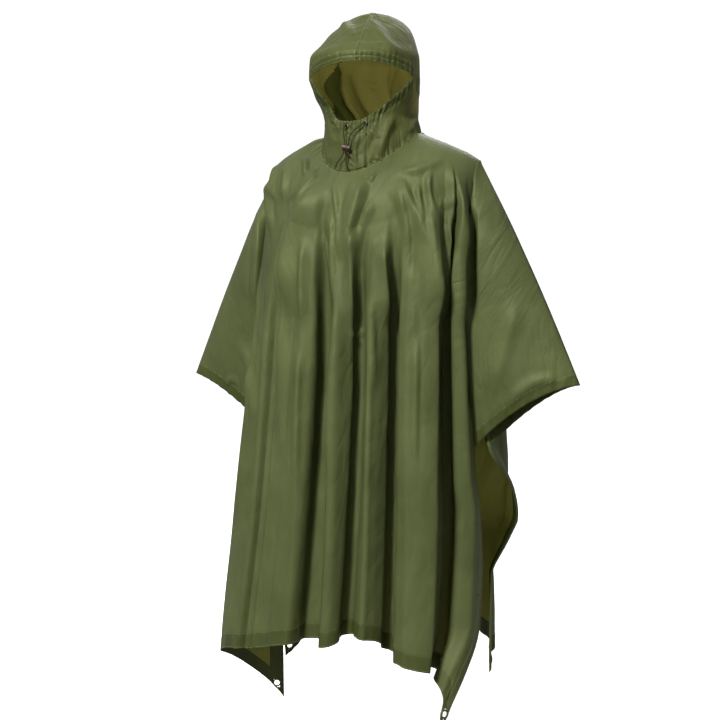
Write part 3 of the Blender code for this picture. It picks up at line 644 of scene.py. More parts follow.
def stretched(tree, place, scale):
    return add_node(tree, "ShaderNodeMapping", {"Vector": place, "Scale": scale}).outputs[0]


def worked(tree, operation, *values):
    """A value worked out from one, two or three others."""
    return add_node(tree, "ShaderNodeMath", dict(enumerate(values)), operation=operation).outputs[0]


def ranged(tree, value, span, onto=(0.0, 1.0)):
    """A value whose span is mapped onto another."""
    ends = {"Value": value, "From Min": span[0], "From Max": span[1], "To Min": onto[0], "To Max": onto[1]}
    return add_node(tree, "ShaderNodeMapRange", ends).outputs[0]


def between(tree, share, first, last):
    """The colour at a share of the way from the first colour to the last."""
    return add_node(tree, "ShaderNodeMix", {"Factor": share, 6: first, 7: last}, data_type="RGBA").outputs[2]


def relief(tree, depth, height, strength=1.0, under=None):
    """The normal of a fine relief of a depth in metres, on top of the relief under it."""
    bump = {"Strength": strength, "Distance": depth, "Height": height}
    if under:
        bump["Normal"] = under
    return add_node(tree, "ShaderNodeBump", bump).outputs["Normal"]


# ---------------------------------------------------------------- materials
# Plain-woven polyester taffeta, dyed olive and coated on its inner side. The weave is drawn at
# 0.9 mm, coarser than its 0.12 mm threads, so that it shows from near by.
WEAVE_PITCH = 0.0009
WEAVE_DEPTH = 0.00002
SLUBS = ((700, 14, 1), (14, 900, 1))  # how fine the thicker threads are across and down the cloth
# Size, lengthwise stretch and depth of the faint creases that handling leaves in a calendered cloth.
WORN_CREASES = ((0.030, 0.40, 0.007), (0.35 * 0.030, 0.5, 0.12 * 0.007))
TAFFETA_SHINE = {"IOR": 1.5, "Specular IOR Level": 0.16}


def taffeta(name, dark, light, through, roughness, share_through):
    """A calendered taffeta. dark and light are the ends of its uneven dye, made darker or lighter in some
    copies as painted shade or painted light; through is the colour of the light that passes, share_through
    how much does."""
    material, tree = new_material(name)
    on_cloth = where_on_cloth(tree)
    cloudy = noise(tree, where_on_piece(tree), 7.0, 5.0, roughness=0.6)
    split = add_node(tree, "ShaderNodeSeparateXYZ", {"Vector": on_cloth})
    threads = []
    for axis in ("X", "Y"):
        turns = worked(tree, "MULTIPLY", split.outputs[axis], 2 * math.pi / WEAVE_PITCH)
        threads.append(worked(tree, "SINE", turns))
    woven = worked(tree, "MULTIPLY", *threads)
    # Thicker threads run across and down the cloth here and there.
    slubs = worked(tree, "ADD", *[noise(tree, stretched(tree, on_cloth, scale), 1.0, 2.0) for scale in SLUBS])
    tone = worked(tree, "MULTIPLY_ADD", slubs, 0.3, cloudy)
    # Handling leaves sharp creases, mostly down the cloth: the ridges of a folded noise, in two sizes.
    crease = None
    for size, stretch, depth in WORN_CREASES:
        worn = noise(tree, stretched(tree, on_cloth, (1.0, stretch, 1.0)), 0.5 / size, 2.0, distortion=0.5)
        folded = worked(tree, "ABSOLUTE", worked(tree, "SUBTRACT", worn, 0.5))
        crease = relief(tree, depth, folded, under=crease)
    grain = relief(tree, WEAVE_DEPTH, woven, under=crease)
    skin = {
        "Base Color": between(tree, ranged(tree, tone, (0.62, 0.98)), linear(dark), linear(light)),
        "Roughness": ranged(tree, cloudy, (0.0, 1.0), (roughness - 0.05, roughness + 0.06)),
        "Normal": grain,
        "Specular Tint": linear("#E6E8B8"),
        **TAFFETA_SHINE,
    }
    outer = add_node(tree, "ShaderNodeBsdfPrincipled", skin)
    behind = add_node(tree, "ShaderNodeBsdfTranslucent", {"Color": linear(through), "Normal": grain})
    shares = {0: share_through, 1: outer.outputs[0], 2: behind.outputs[0]}
    return surface(material, "ShaderNodeMixShader", shares)


def metal(name, worn, recess, roughness):
    """Brass with a blackened finish, rubbed brighter in places."""
    material, tree = new_material(name)
    rubbed = noise(tree, where_on_piece(tree), 260.0, 4.0, roughness=0.6)
    skin = {
        "Base Color": between(tree, ranged(tree, rubbed, (0.4, 0.7)), linear(recess), linear(worn)),
        "Roughness": ranged(tree, rubbed, (0.0, 1.0), (roughness + 0.12, roughness - 0.1)),
        "Metallic": 1.0,
        "Normal": relief(tree, 0.00004, rubbed, strength=0.5),
    }
    return surface(material, "ShaderNodeBsdfPrincipled", skin)


def plastic(name, dark, light, roughness):
    """Injection-moulded brown acetal with a fine spark-eroded grain."""
    material, tree = new_material(name)
    place = where_on_piece(tree)
    skin = {
        "Base Color": between(tree, noise(tree, place, 180.0, 3.0), linear(dark), linear(light)),
        "Normal": relief(tree, 0.00005, noise(tree, place, 1600.0, 1.0), strength=0.6),
        "IOR": 1.48,
        "Roughness": roughness,
    }
    return surface(material, "ShaderNodeBsdfPrincipled", skin)


# A braided cord 2.6 mm thick: 8 strands cross round it each way, one crossing every 1.8 mm.
BRAID_PITCH = 0.0018
BRAID_STRANDS = 8
BRAID_DEPTH = 0.0004


def braid(name, dark, light):
    """Braided polyester cord. Its map runs once round (U) and along in metres (V)."""
    material, tree = new_material(name)
    split = add_node(tree, "ShaderNodeSeparateXYZ", {"Vector": where_on_cloth(tree)})
    along = worked(tree, "MULTIPLY", split.outputs["Y"], math.pi / BRAID_PITCH)
    round_ = worked(tree, "MULTIPLY", split.outputs["X"], math.pi * BRAID_STRANDS)
    waves = []
    for operation in ("ADD", "SUBTRACT"):
        wave = worked(tree, "SINE", worked(tree, operation, along, round_))
        waves.append(worked(tree, "ABSOLUTE", wave))
    strands = worked(tree, "MULTIPLY", *waves)
    # The grooves between the strands are painted darker and their crowns lighter, as painted shade on top of
    # the relief.
    skin = {
        "Base Color": between(tree, strands, linear(dark), linear(light)),
        "Normal": relief(tree, BRAID_DEPTH, strands),
        "Roughness": 0.85,
        "Specular IOR Level": 0.1,
    }
    return surface(material, "ShaderNodeBsdfPrincipled", skin)


def thread(name, hex_colour):
    """Spun polyester sewing thread, a tone lighter than the cloth."""
    material, tree = new_material(name)
    twist = noise(tree, where_on_piece(tree), 1500.0, 1.0)
    bright = linear(hex_colour)
    dull = (*[0.6 * c for c in bright[:3]], 1.0)
    skin = {"Base Color": between(tree, twist, dull, bright), "Roughness": 0.6}
    return surface(material, "ShaderNodeBsdfPrincipled", skin)


# ---------------------------------------------------------------- unevenness
FOLD_ROUND = 0.06  # how much a flat-sided fold's line is rounded, as a share of its side
CRISPNESS = 0.9  # how far the panels' folds go from rounded to flat-sided
CRISP_WIDTH = 1.6  # a flat-sided fold's side, in half widths of the rounded fold
DEGREE_WIDTH = 0.0047  # cloth of the body in one degree, in metres
HOOD_DEGREE_WIDTH = 0.0022


def ripple(along, pitch, seed):
    """An uneven wave with about one crest for each pitch, from -1 to 1."""
    draw = np.random.default_rng(seed)
    total = np.zeros_like(along)
    for _ in range(5):
        length = pitch * draw.uniform(0.75, 1.6)
        total += np.sin(2 * math.pi * along / length + draw.uniform(0, 2 * math.pi))
    return total / 2.4


def lumps(points, size, seed):
    """Smooth uneven values from -1 to 1 with lumps of a size, in metres along each axis."""
    knots = np.random.default_rng(seed).uniform(-1, 1, (32, 32, 32))
    at = points / np.array(size) + 500.0
    low = np.floor(at).astype(int)
    part = ease(at - low)
    total = np.zeros(len(points))
    for corner in np.ndindex(2, 2, 2):
        weight = np.prod(np.where(corner, part, 1 - part), axis=1)
        total += weight * knots[tuple(((low + corner) % 32).T)]
    return total


def crumple(points, size, seed):
    """Faceted unevenness, as crisp cloth crumples: sharp ridges between soft hollows, mean about 0."""
    first = np.abs(lumps(points, size, seed))
    finer = np.abs(lumps(points, np.array(size) * 0.47, seed + 1))
    return 0.55 - 1.2 * first - 0.5 * finer


def crease_reach(creases, across, height):
    """Sharp ridges, and troughs where reach is below 0, along bowed lines. Each falls off evenly, over
    one width on its left and another on its right, seen level from one side of the body."""
    total = np.zeros_like(across)
    for x0, y0, x1, y1, reach, left, right, bow in zip(*creases.values()):
        length = math.hypot(x1 - x0, y1 - y0)
        along = ((across - x0) * (x1 - x0) + (height - y0) * (y1 - y0)) / length**2
        off = ((across - x0) * (y1 - y0) - (height - y0) * (x1 - x0)) / length - bow * 4 * along * (1 - along)
        taper = ease(along / 0.25) * ease((1 - along) / 0.35)
        total += reach * taper * faceted(off / np.where(off > 0, left, right))
    return total


def faceted(share):
    """The profile of a fold with flat sides: 1 on its line, 0 from a distance of 1, barely rounded."""
    return np.maximum(1 + FOLD_ROUND - np.sqrt(share**2 + FOLD_ROUND**2), 0)


def flat_sided(folds, angle, height):
    """How far flat-sided folds down the cloth move it outwards."""
    total = np.zeros(np.broadcast(angle, height).shape)
    for fold, grown, off in each_fold(folds, angle, height):
        total += fold["reach"] * grown * faceted(off / np.where(off < 0, fold["left"], fold["right"]))
    return total


def crisper(folds, angle, height):
    """What turns the panel's rounded folds into folds with flatter sides and sharper lines, as thin
    crisp cloth has them."""
    total = np.zeros(np.broadcast(angle, height).shape)
    for fold, grown, off in each_fold(folds, angle, height):
        share = off / fold["half_width"]
        total += fold["reach"] * grown * (faceted(share / CRISP_WIDTH) - np.exp(-(share**2)))
    return CRISPNESS * total


# Creases that cross the folds, as lines seen level from one side: the two ends of each, its reach
# outwards (inwards where negative), the width of each of its sides and how far it bows.
SEEN_FROM = {"front": 27.0, "back": 180.0, "hood": 27.0}  # degrees from the front to the wearer's left
CREASE_DEPTH = {"front": 2.5, "back": 1.6, "hood": 1.6}  # by which each reach in the rows is multiplied
CREASE_COLUMNS = "from_across from_height to_across to_height reach left right bow"
CREASES = {
    "front": table(
        CREASE_COLUMNS,
        [
            (-0.120, -0.072, -0.200, -0.158, 0.0040, 0.012, 0.007, -0.004),
            (-0.117, -0.090, -0.171, -0.164, 0.0045, 0.009, 0.008, 0.005),
            (-0.110, -0.097, -0.182, -0.419, 0.0110, 0.030, 0.042, 0.035),
            (-0.091, -0.166, -0.083, -0.396, 0.0050, 0.026, 0.007, -0.002),
            (-0.015, -0.100, -0.070, -0.295, 0.0090, 0.034, 0.014, -0.003),
            (-0.089, -0.107, -0.075, -0.291, 0.0030, 0.006, 0.010, -0.004),
            (0.000, -0.146, -0.066, -0.299, 0.0040, 0.006, 0.016, -0.002),
            (-0.020, -0.203, -0.048, -0.439, 0.0070, 0.020, 0.012, 0.011),
            (0.030, -0.234, 0.017, -0.439, 0.0080, 0.030, 0.016, 0.002),
            (0.057, -0.102, 0.117, -0.261, 0.0050, 0.040, 0.009, -0.005),
            (0.098, -0.116, 0.111, -0.217, 0.0040, 0.012, 0.007, 0.002),
            (0.120, -0.138, 0.136, -0.438, 0.0120, 0.040, 0.030, -0.001),
            (0.159, -0.177, 0.166, -0.439, 0.0050, 0.010, 0.009, -0.002),
            (0.171, -0.075, 0.168, -0.243, 0.0050, 0.014, 0.006, -0.003),
            (0.182, -0.080, 0.192, -0.439, 0.0080, 0.010, 0.020, -0.006),
            (0.218, -0.165, 0.215, -0.440, -0.0140, 0.016, 0.012, 0.000),
            (0.127, -0.085, 0.146, -0.204, 0.0040, 0.012, 0.008, 0.013),
            (0.133, -0.158, 0.177, -0.142, 0.0030, 0.008, 0.007, 0.014),
            (-0.244, -0.086, -0.231, -0.229, 0.0060, 0.008, 0.009, 0.000),
            (-0.258, -0.148, -0.274, -0.423, 0.0070, 0.020, 0.009, 0.001),
            (-0.217, -0.055, -0.225, -0.151, 0.0040, 0.008, 0.008, 0.011),
            (-0.158, -0.046, -0.153, -0.104, 0.0040, 0.010, 0.009, -0.004),
            (0.009, -0.096, -0.009, -0.119, 0.0030, 0.006, 0.006, 0.001),
            (0.055, -0.095, 0.161, -0.062, 0.0030, 0.014, 0.011, 0.005),
            (0.052, -0.125, 0.078, -0.291, 0.0030, 0.016, 0.010, -0.008),
            (-0.113, -0.224, -0.090, -0.312, 0.0030, 0.014, 0.006, 0.000),
            (-0.145, -0.232, -0.157, -0.441, 0.0050, 0.010, 0.016, 0.002),
            (-0.195, -0.061, -0.205, -0.155, 0.0035, 0.012, 0.008, -0.001),
            (0.089, -0.291, 0.086, -0.459, 0.0025, 0.016, 0.012, -0.001),
            (-0.007, -0.352, 0.000, -0.589, 0.0030, 0.016, 0.008, -0.002),
            (-0.162, -0.463, -0.169, -0.814, 0.0040, 0.014, 0.008, 0.002),
            (0.095, -0.438, 0.090, -0.758, 0.0030, 0.014, 0.008, 0.000),
            (-0.200, -0.375, -0.208, -0.750, 0.0030, 0.010, 0.008, 0.001),
            (-0.092, -0.439, -0.098, -0.764, 0.0040, 0.010, 0.008, -0.001),
            (-0.289, -0.677, -0.257, -0.686, 0.0020, 0.006, 0.006, -0.004),
            (-0.052, -0.450, -0.026, -0.439, 0.0030, 0.008, 0.005, 0.003),
            (-0.316, -0.472, -0.279, -0.675, 0.0030, 0.014, 0.014, -0.014),
            (-0.355, -0.582, -0.316, -0.577, 0.0030, 0.008, 0.010, -0.011),
            (0.320, -0.374, 0.256, -0.592, 0.0030, 0.030, 0.020, 0.001),
            (0.404, -0.542, 0.288, -0.613, 0.0030, 0.016, 0.014, 0.020),
        ],
    ),
    "back": table(
        CREASE_COLUMNS,
        [
            (-0.060, -0.010, -0.150, -0.200, 0.0070, 0.030, 0.016, 0.012),
            (-0.130, -0.030, -0.200, -0.170, 0.0060, 0.016, 0.012, 0.008),
            (-0.030, -0.020, -0.060, -0.300, 0.0060, 0.026, 0.016, 0.004),
            (0.020, -0.020, 0.040, -0.320, 0.0070, 0.030, 0.014, -0.005),
            (0.080, -0.010, 0.130, -0.240, 0.0060, 0.022, 0.012, -0.008),
            (0.140, -0.040, 0.205, -0.200, 0.0060, 0.018, 0.012, -0.008),
            (0.170, -0.060, 0.215, -0.300, 0.0050, 0.012, 0.010, -0.004),
            (-0.180, -0.060, -0.220, -0.300, 0.0050, 0.014, 0.010, 0.004),
        ],
    ),
    "hood": table(
        CREASE_COLUMNS,
        [
            (-0.014, 0.272, 0.068, 0.151, 0.0060, 0.026, 0.020, 0.009),
            (-0.069, 0.266, -0.049, 0.204, 0.0040, 0.014, 0.016, -0.001),
            (-0.047, 0.212, -0.077, 0.186, 0.0020, 0.008, 0.008, 0.000),
            (-0.029, 0.222, 0.015, 0.201, 0.0020, 0.010, 0.008, -0.009),
            (0.047, 0.047, 0.013, -0.068, 0.0060, 0.024, 0.012, 0.004),
            (0.056, 0.045, 0.059, -0.070, 0.0030, 0.020, 0.016, -0.022),
            (0.079, -0.002, 0.100, 0.039, 0.0030, 0.007, 0.008, -0.001),
            (-0.016, 0.003, 0.002, -0.019, 0.0025, 0.004, 0.004, 0.000),
            (-0.004, 0.003, 0.013, -0.016, 0.0020, 0.004, 0.004, -0.001),
            (-0.029, -0.005, -0.036, -0.077, 0.0030, 0.010, 0.005, 0.006),
            (-0.090, 0.034, -0.072, -0.004, 0.0025, 0.008, 0.007, -0.001),
            (-0.004, -0.064, 0.029, -0.086, 0.0030, 0.004, 0.004, 0.001),
            (0.002, -0.057, 0.040, -0.077, 0.0030, 0.005, 0.005, -0.001),
            (-0.009, -0.072, 0.004, -0.094, 0.0025, 0.004, 0.004, 0.001),
            (0.107, 0.008, 0.066, -0.056, 0.0040, 0.014, 0.014, 0.003),
            (-0.099, 0.057, -0.097, -0.037, 0.0020, 0.008, 0.014, -0.001),
        ],
    ),
}
# Flat-sided folds down the cloth: the angle of each line, its reach outwards, how many degrees each
# side takes, the heights at which it starts and is full, and its drift in degrees for each metre down.
FOLD_COLUMNS = "angle reach left right start full drift"
FINE_FOLDS = {
    "front": table(
        FOLD_COLUMNS,
        [
            (-80, 0.012, 6, 8, -0.70, -1.00, 0),
            (-66, 0.006, 8, 3, -0.23, -0.53, 0),
            (-43, 0.007, 8, 2.5, -0.23, -0.53, 0),
            (-33, 0.009, 5, 1.6, -0.15, -0.33, 0),
            (-29, 0.006, 2, 1.4, -0.21, -0.43, 0),
            (-12.5, 0.014, 9, 2.6, -0.13, -0.38, 4),
            (-9, -0.026, 2.6, 6, -0.11, -0.38, 6),
            (2, 0.009, 5, 4, -0.21, -0.48, 7),
            (8, 0.007, 6, 2.6, -0.11, -0.38, 3),
            (11, -0.023, 2.6, 5, -0.13, -0.38, 4),
            (19, 0.009, 5, 5, -0.18, -0.48, 6),
            (24.5, 0.009, 4, 2.4, -0.17, -0.38, 7),
            (27.5, -0.023, 2.4, 5, -0.17, -0.38, 8),
            (34, 0.009, 4, 9, -0.18, -0.53, 6),
            (52, 0.014, 12, 5, -0.14, -0.40, 3),
            (58, -0.017, 5, 4, -0.14, -0.36, 2),
            (64, 0.009, 2, 2, -0.14, -0.36, 2),
            (70, -0.038, 4.5, 3.5, -0.14, -0.34, 0),
            (75, 0.017, 3, 5, -0.12, -0.34, 0),
            (-38, -0.014, 5, 3.5, -0.22, -0.50, 0),
            (-30.5, -0.011, 1.6, 1.6, -0.25, -0.50, 0),
            (-21, -0.009, 6, 9, -0.20, -0.50, 0),
            (-1.5, -0.008, 5, 3, -0.20, -0.50, 6),
            (18, -0.008, 4, 4, -0.20, -0.50, 6),
            (31, -0.010, 5, 2.2, -0.16, -0.40, 7),
        ],
    ),
    "back": table(
        FOLD_COLUMNS,
        [
            (-58, -0.010, 4, 8, -0.22, -0.60, 0),
            (-40, 0.006, 8, 5, -0.25, -0.60, 0),
            (-22, -0.014, 3, 7, -0.28, -0.70, 0),
            (-12, 0.005, 6, 4, -0.30, -0.70, 2),
            (8, -0.014, 7, 3, -0.30, -0.70, 0),
            (20, 0.005, 4, 6, -0.30, -0.70, -2),
            (42, -0.012, 8, 4, -0.22, -0.60, 0),
            (56, 0.006, 5, 8, -0.25, -0.60, 0),
        ],
    ),
}


# ---------------------------------------------------------------- cloth
SHELL = 0.0007  # wall of a cloth, thicker than the real 0.1 mm so that both faces render cleanly
SHELL_FOOT = 0.00025  # the shell's inner face, outwards from the solid's inner face
HEM_SHELL = 0.0004
HEM_DROP = 0.0002  # between a cloth's inner face and its turned-in hem


class Cloth:
    """A cloth under construction: points, quads, the weave map in metres, named values for each
    point and the indices of the grids that it is made from."""

    def __init__(self):
        self.points, self.faces, self.weave = np.zeros((0, 3)), np.zeros((0, 4), int), np.zeros((0, 2))
        self.values = {}
        self.grids = {}
        self.gone = None

    def add_grid(self, name, grid, weave, values):
        rows, columns = grid.shape[:2]
        index = len(self.points) + np.arange(rows * columns).reshape(rows, columns)
        self.points = np.concatenate([self.points, grid.reshape(-1, 3)])
        self.weave = np.concatenate([self.weave, weave.reshape(-1, 2)])
        for key, value in values.items():
            value = np.broadcast_to(value, (rows, columns)).reshape(-1)
            self.values[key] = np.concatenate([self.values.get(key, np.zeros(0)), value])
        self.faces = np.concatenate([self.faces, quads_of(index)])
        self.grids[name] = index

    def weld(self, outwards):
        """Joins the points that lie in one place, and turns every grid's sides outwards."""
        _, first, index = np.unique(np.round(self.points, 6), axis=0, return_index=True, return_inverse=True)
        index = index.ravel()
        faces = []
        for grid in self.grids.values():
            quads = quads_of(grid)
            a, b, c, d = (self.points[quads[:, k]] for k in range(4))
            middle = self.points[quads].mean(axis=1)
            faces.append(quads[:, ::-1] if (np.cross(c - a, d - b) * outwards(middle)).sum() < 0 else quads)
        self.faces = index[np.concatenate(faces)]
        self.points, self.weave = self.points[first], self.weave[first]
        self.values = {key: value[first] for key, value in self.values.items()}
        self.grids = {name: index[grid] for name, grid in self.grids.items()}
        self.gone = np.zeros(len(self.points), bool)

    def normals(self):
        a, b, c, d = (self.points[self.faces[:, k]] for k in range(4))
        across = np.cross(c - a, d - b)
        total = np.zeros_like(self.points)
        for k in range(4):
            np.add.at(total, self.faces[:, k], across)
        return total / np.maximum(np.linalg.norm(total, axis=1, keepdims=True), 1e-12)

    def punch(self, node, radius):
        """Opens a round hole behind an eyelet's solid. Returns its middle on the cloth and the
        cloth's normal there."""
        place = np.array(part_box(node)).mean(axis=0)
        away = np.linalg.norm(self.points - place, axis=1)
        close = away < away.min() + radius
        normal = self.normals()[close].mean(axis=0)
        normal /= np.linalg.norm(normal)
        middle = place + normal * ((self.points[close].mean(axis=0) - place) @ normal)
        offset = self.points - middle
        above = offset @ normal
        flat = offset - above[:, None] * normal
        away = np.maximum(np.linalg.norm(flat, axis=1), 1e-9)
        outer, inner = 2.2 * radius, 0.6 * radius
        here = (away < outer) & (np.abs(above) < HOLE_DEPTH)
        self.gone |= here & (away < inner)
        self.faces = self.faces[~self.gone[self.faces].any(axis=1)]
        pushed = radius + (away - inner) * (outer - radius) / (outer - inner)
        moved = here & (away >= inner)
        self.points[moved] += (flat * (pushed / away - 1)[:, None])[moved]
        return middle + normal * SHELL / 2, normal


def quads_of(index):
    return np.stack([index[:-1, :-1], index[1:, :-1], index[1:, 1:], index[:-1, 1:]], axis=-1).reshape(-1, 4)


def run_lengths(grid, axis):
    """Distances along a grid's lines from its first point."""
    step = np.linalg.norm(np.diff(grid, axis=axis), axis=-1)
    start = np.zeros_like(np.take(step, [0], axis=axis))
    return np.concatenate([start, np.cumsum(step, axis=axis)], axis=axis)


def weave_of(across, down):
    return np.stack(np.broadcast_arrays(across, down), axis=-1)


def new_piece(name, points, faces, materials, weave=None, kind=None):
    """A smooth mesh object at the origin from arrays of points and faces. kind numbers the cloth's
    kind at each point; each kind has two materials, for its outer and its inner side."""
    mesh = bpy.data.meshes.new(name)
    corners = [list(dict.fromkeys(face)) for face in faces.tolist()]
    corners = [face for face in corners if len(face) > 2]
    mesh.from_pydata(points.tolist(), [], corners)
    for material in materials:
        mesh.materials.append(material)
    if kind is not None:
        mesh.polygons.foreach_set("material_index", [2 * int(min(kind[face])) for face in corners])
    if weave is not None:
        layer = mesh.uv_layers.new(name="weave")
        at = np.zeros(len(mesh.loops), np.int32)
        mesh.loops.foreach_get("vertex_index", at)
        layer.data.foreach_set("uv", weave[at].astype(np.float32).ravel())
    mesh.shade_smooth()
    piece = bpy.data.objects.new(name, mesh)
    bpy.context.scene.collection.objects.link(piece)
    return piece


def add_wall(piece, wall):
    """A thin wall that grows outwards. The inner side takes the piece's second material."""
    thick = piece.modifiers.new("wall", "SOLIDIFY")
    thick.thickness = wall
    thick.offset = 1.0
    thick.material_offset = 1
    thick.material_offset_rim = 0
    return piece


def finish_piece(piece, slot, *nodes):
    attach(piece, "root")
    if nodes:
        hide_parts(*nodes)
    return piece


def strip_of(name, cloth, index, lift, wall, materials):
    """A strip of cloth along part of another, lifted off it."""
    normals = cloth.normals()
    used, inverse = np.unique(index, return_inverse=True)
    quads = quads_of(inverse.reshape(index.shape))
    quads = quads[~cloth.gone[used][quads].any(axis=1)]
    points = (cloth.points + normals * np.reshape(lift, (-1, 1)))[used]
    a, b, c, d = (points[quads[:, k]] for k in range(4))
    if (np.cross(c - a, d - b) * normals[used][quads[:, 0]]).sum() < 0:
        quads = quads[:, ::-1]
    return add_wall(new_piece(name, points, quads, materials, cloth.weave[used]), wall)


def seen_creases(face, points, normals):
    """The creases of one side, where the cloth faces that way."""
    turn = math.radians(SEEN_FROM[face])
    across = points @ np.array([math.cos(turn), math.sin(turn), 0])
    facing = normals @ np.array([math.sin(turn), -math.cos(turn), 0])
    reach = CREASE_DEPTH[face] * crease_reach(CREASES[face], across, points[:, 2])
    return reach * ease((facing + 0.1) / 0.3)


def hem_strip(name, cloth, index, *nodes):
    """A turned-in hem or casing on the inner side of a cloth."""
    strip = strip_of(name, cloth, index, -(HEM_DROP + HEM_SHELL), HEM_SHELL, [DOUBLED_SHADED] * 2)
    return finish_piece(strip, "hem_taffeta", *nodes)


def eyelet(name, size, place_and_normal, node):
    """A rolled brass eyelet in its hole."""
    return finish_piece(turned(name, eyelet_profile(*size), *place_and_normal, BRASS), "eyelet_metal", node)


# ---------------------------------------------------------------- the panels' cloth
NECK_COLUMNS = 96
SIDE_COLUMNS = 62
SIDE_HEM_COLUMNS = 8
SLEEVE_COLUMNS = 46
HEM_LINES = (4.05, 4.92)  # the panel rows on which the bottom hem's two lines of stitches run
SLEEVE_HEM_LINE = 2.05
NECK_GATHERS = (0.0016, 0.14, 0.017)  # their reach, the rows over which they run out and their pitch
PANEL_SEEDS = {"front": 11, "back": 31}
# Size of the cloth's unevenness from side to side, from front to back and up, in metres.
NECK_CRUMPLES = (0.05, 0.05, 0.08)
SLEEVE_LUMPS = (0.13, 0.13, 0.19)
HANGING_LUMPS = (0.050, 0.050, 0.140)
# The hems that pucker: the row of the upper line, how far the puckers stand out and their pitch.
BOTTOM_PUCKERS = (4, 0.0010, 0.022)
SLEEVE_PUCKERS = (2, 0.0014, 0.020)
SIDES = {"left": 1, "right": -1}


def fine_columns():
    """Angles of the panel's fine columns: the neck's, the sides' and the side hems'."""
    middle = np.linspace(-NECK_SPAN, NECK_SPAN, NECK_COLUMNS + 1)
    side = np.linspace(NECK_SPAN, 90 - SIDE_HEM_ANGLE, SIDE_COLUMNS + 1)[1:]
    hem = np.linspace(90 - SIDE_HEM_ANGLE, 90, SIDE_HEM_COLUMNS + 1)[1:]
    right = np.concatenate([side, hem])
    return np.concatenate([-right[::-1], middle, right])


def fine_rows():
    return np.concatenate(
        [
            np.linspace(0, 1, 45),
            np.linspace(1, 2, 57)[1:],
            (2.05, 2.12, 2.3, 2.5, 2.7, 2.85, 3),
            3 + (1 - (1 - np.linspace(0, 1, 33)[1:]) ** 1.25),
            (4.05, 4.12, 4.25, 4.4, 4.55, 4.7, 4.82, 4.92, 5),
        ]
    )


def panel_detail(face, panel, cloth):
    """How far each point of a panel is moved outwards for its folds, creases, puckers and crumples."""
    v, points = cloth.values, cloth.points
    angle, row, out = v["angle"], v["row"], v["out"]
    height = points[:, 2]
    body = 1 - ease(out / 0.2)
    total = flat_sided(FINE_FOLDS[face], angle, height) * body
    total += crisper(panel.folds, angle, height) * body
    total += seen_creases(face, points, cloth.normals())
    # Crumples: strongest round the neck, faint where the cloth hangs, wide and soft on the sleeves.
    seed = PANEL_SEEDS[face]
    near_neck = np.exp(-np.clip(row, 0, 9) / 0.5) * body
    total += (0.0003 + 0.0011 * near_neck) * crumple(points, NECK_CRUMPLES, seed)
    total += 0.0028 * (1 - body) * lumps(points, SLEEVE_LUMPS, seed + 7)
    total += 0.0007 * lumps(points, HANGING_LUMPS, seed + 9)
    # Gathers below the neck seam.
    arc = angle * DEGREE_WIDTH
    neck_arc = angle / NECK_SPAN * HALF_NECK_SEAM
    over_neck = ease((NECK_SPAN - np.abs(angle)) / 4)
    reach, run_out, pitch = NECK_GATHERS
    total += reach * over_neck * np.exp(-row / run_out) * (1 + ripple(neck_arc, pitch, seed + 5))
    # Beside the stitches and along the edges of the bottom hem and the sleeves' hems the cloth
    # puckers. A hem is three layers thick, and its stitches draw a line into it.
    for where, (line, pucker, pitch) in ((row > 3, BOTTOM_PUCKERS), (ease(out / 0.1), SLEEVE_PUCKERS)):
        below = (row - line) * np.where(row < line, 0.45, 0.033)  # metres below the hem's upper line
        near = np.exp(-((np.minimum(below, 0) / 0.018) ** 2)) * (row < line + 1.01) * where
        total += near * pucker * ripple(arc + v["beyond"], pitch, seed + line)
        total += near * (0.0003 * ease(below / 0.002) - 0.0007 * np.exp(-(((below - 0.0018) / 0.0018) ** 2)))
    # The ridge between front and back holds the cloth.
    held = np.where(over_neck > 0, 1.0, ease(row / 0.08)) * (1 - ease((out - 0.90) / 0.08))
    return (total + SHELL_FOOT) * held


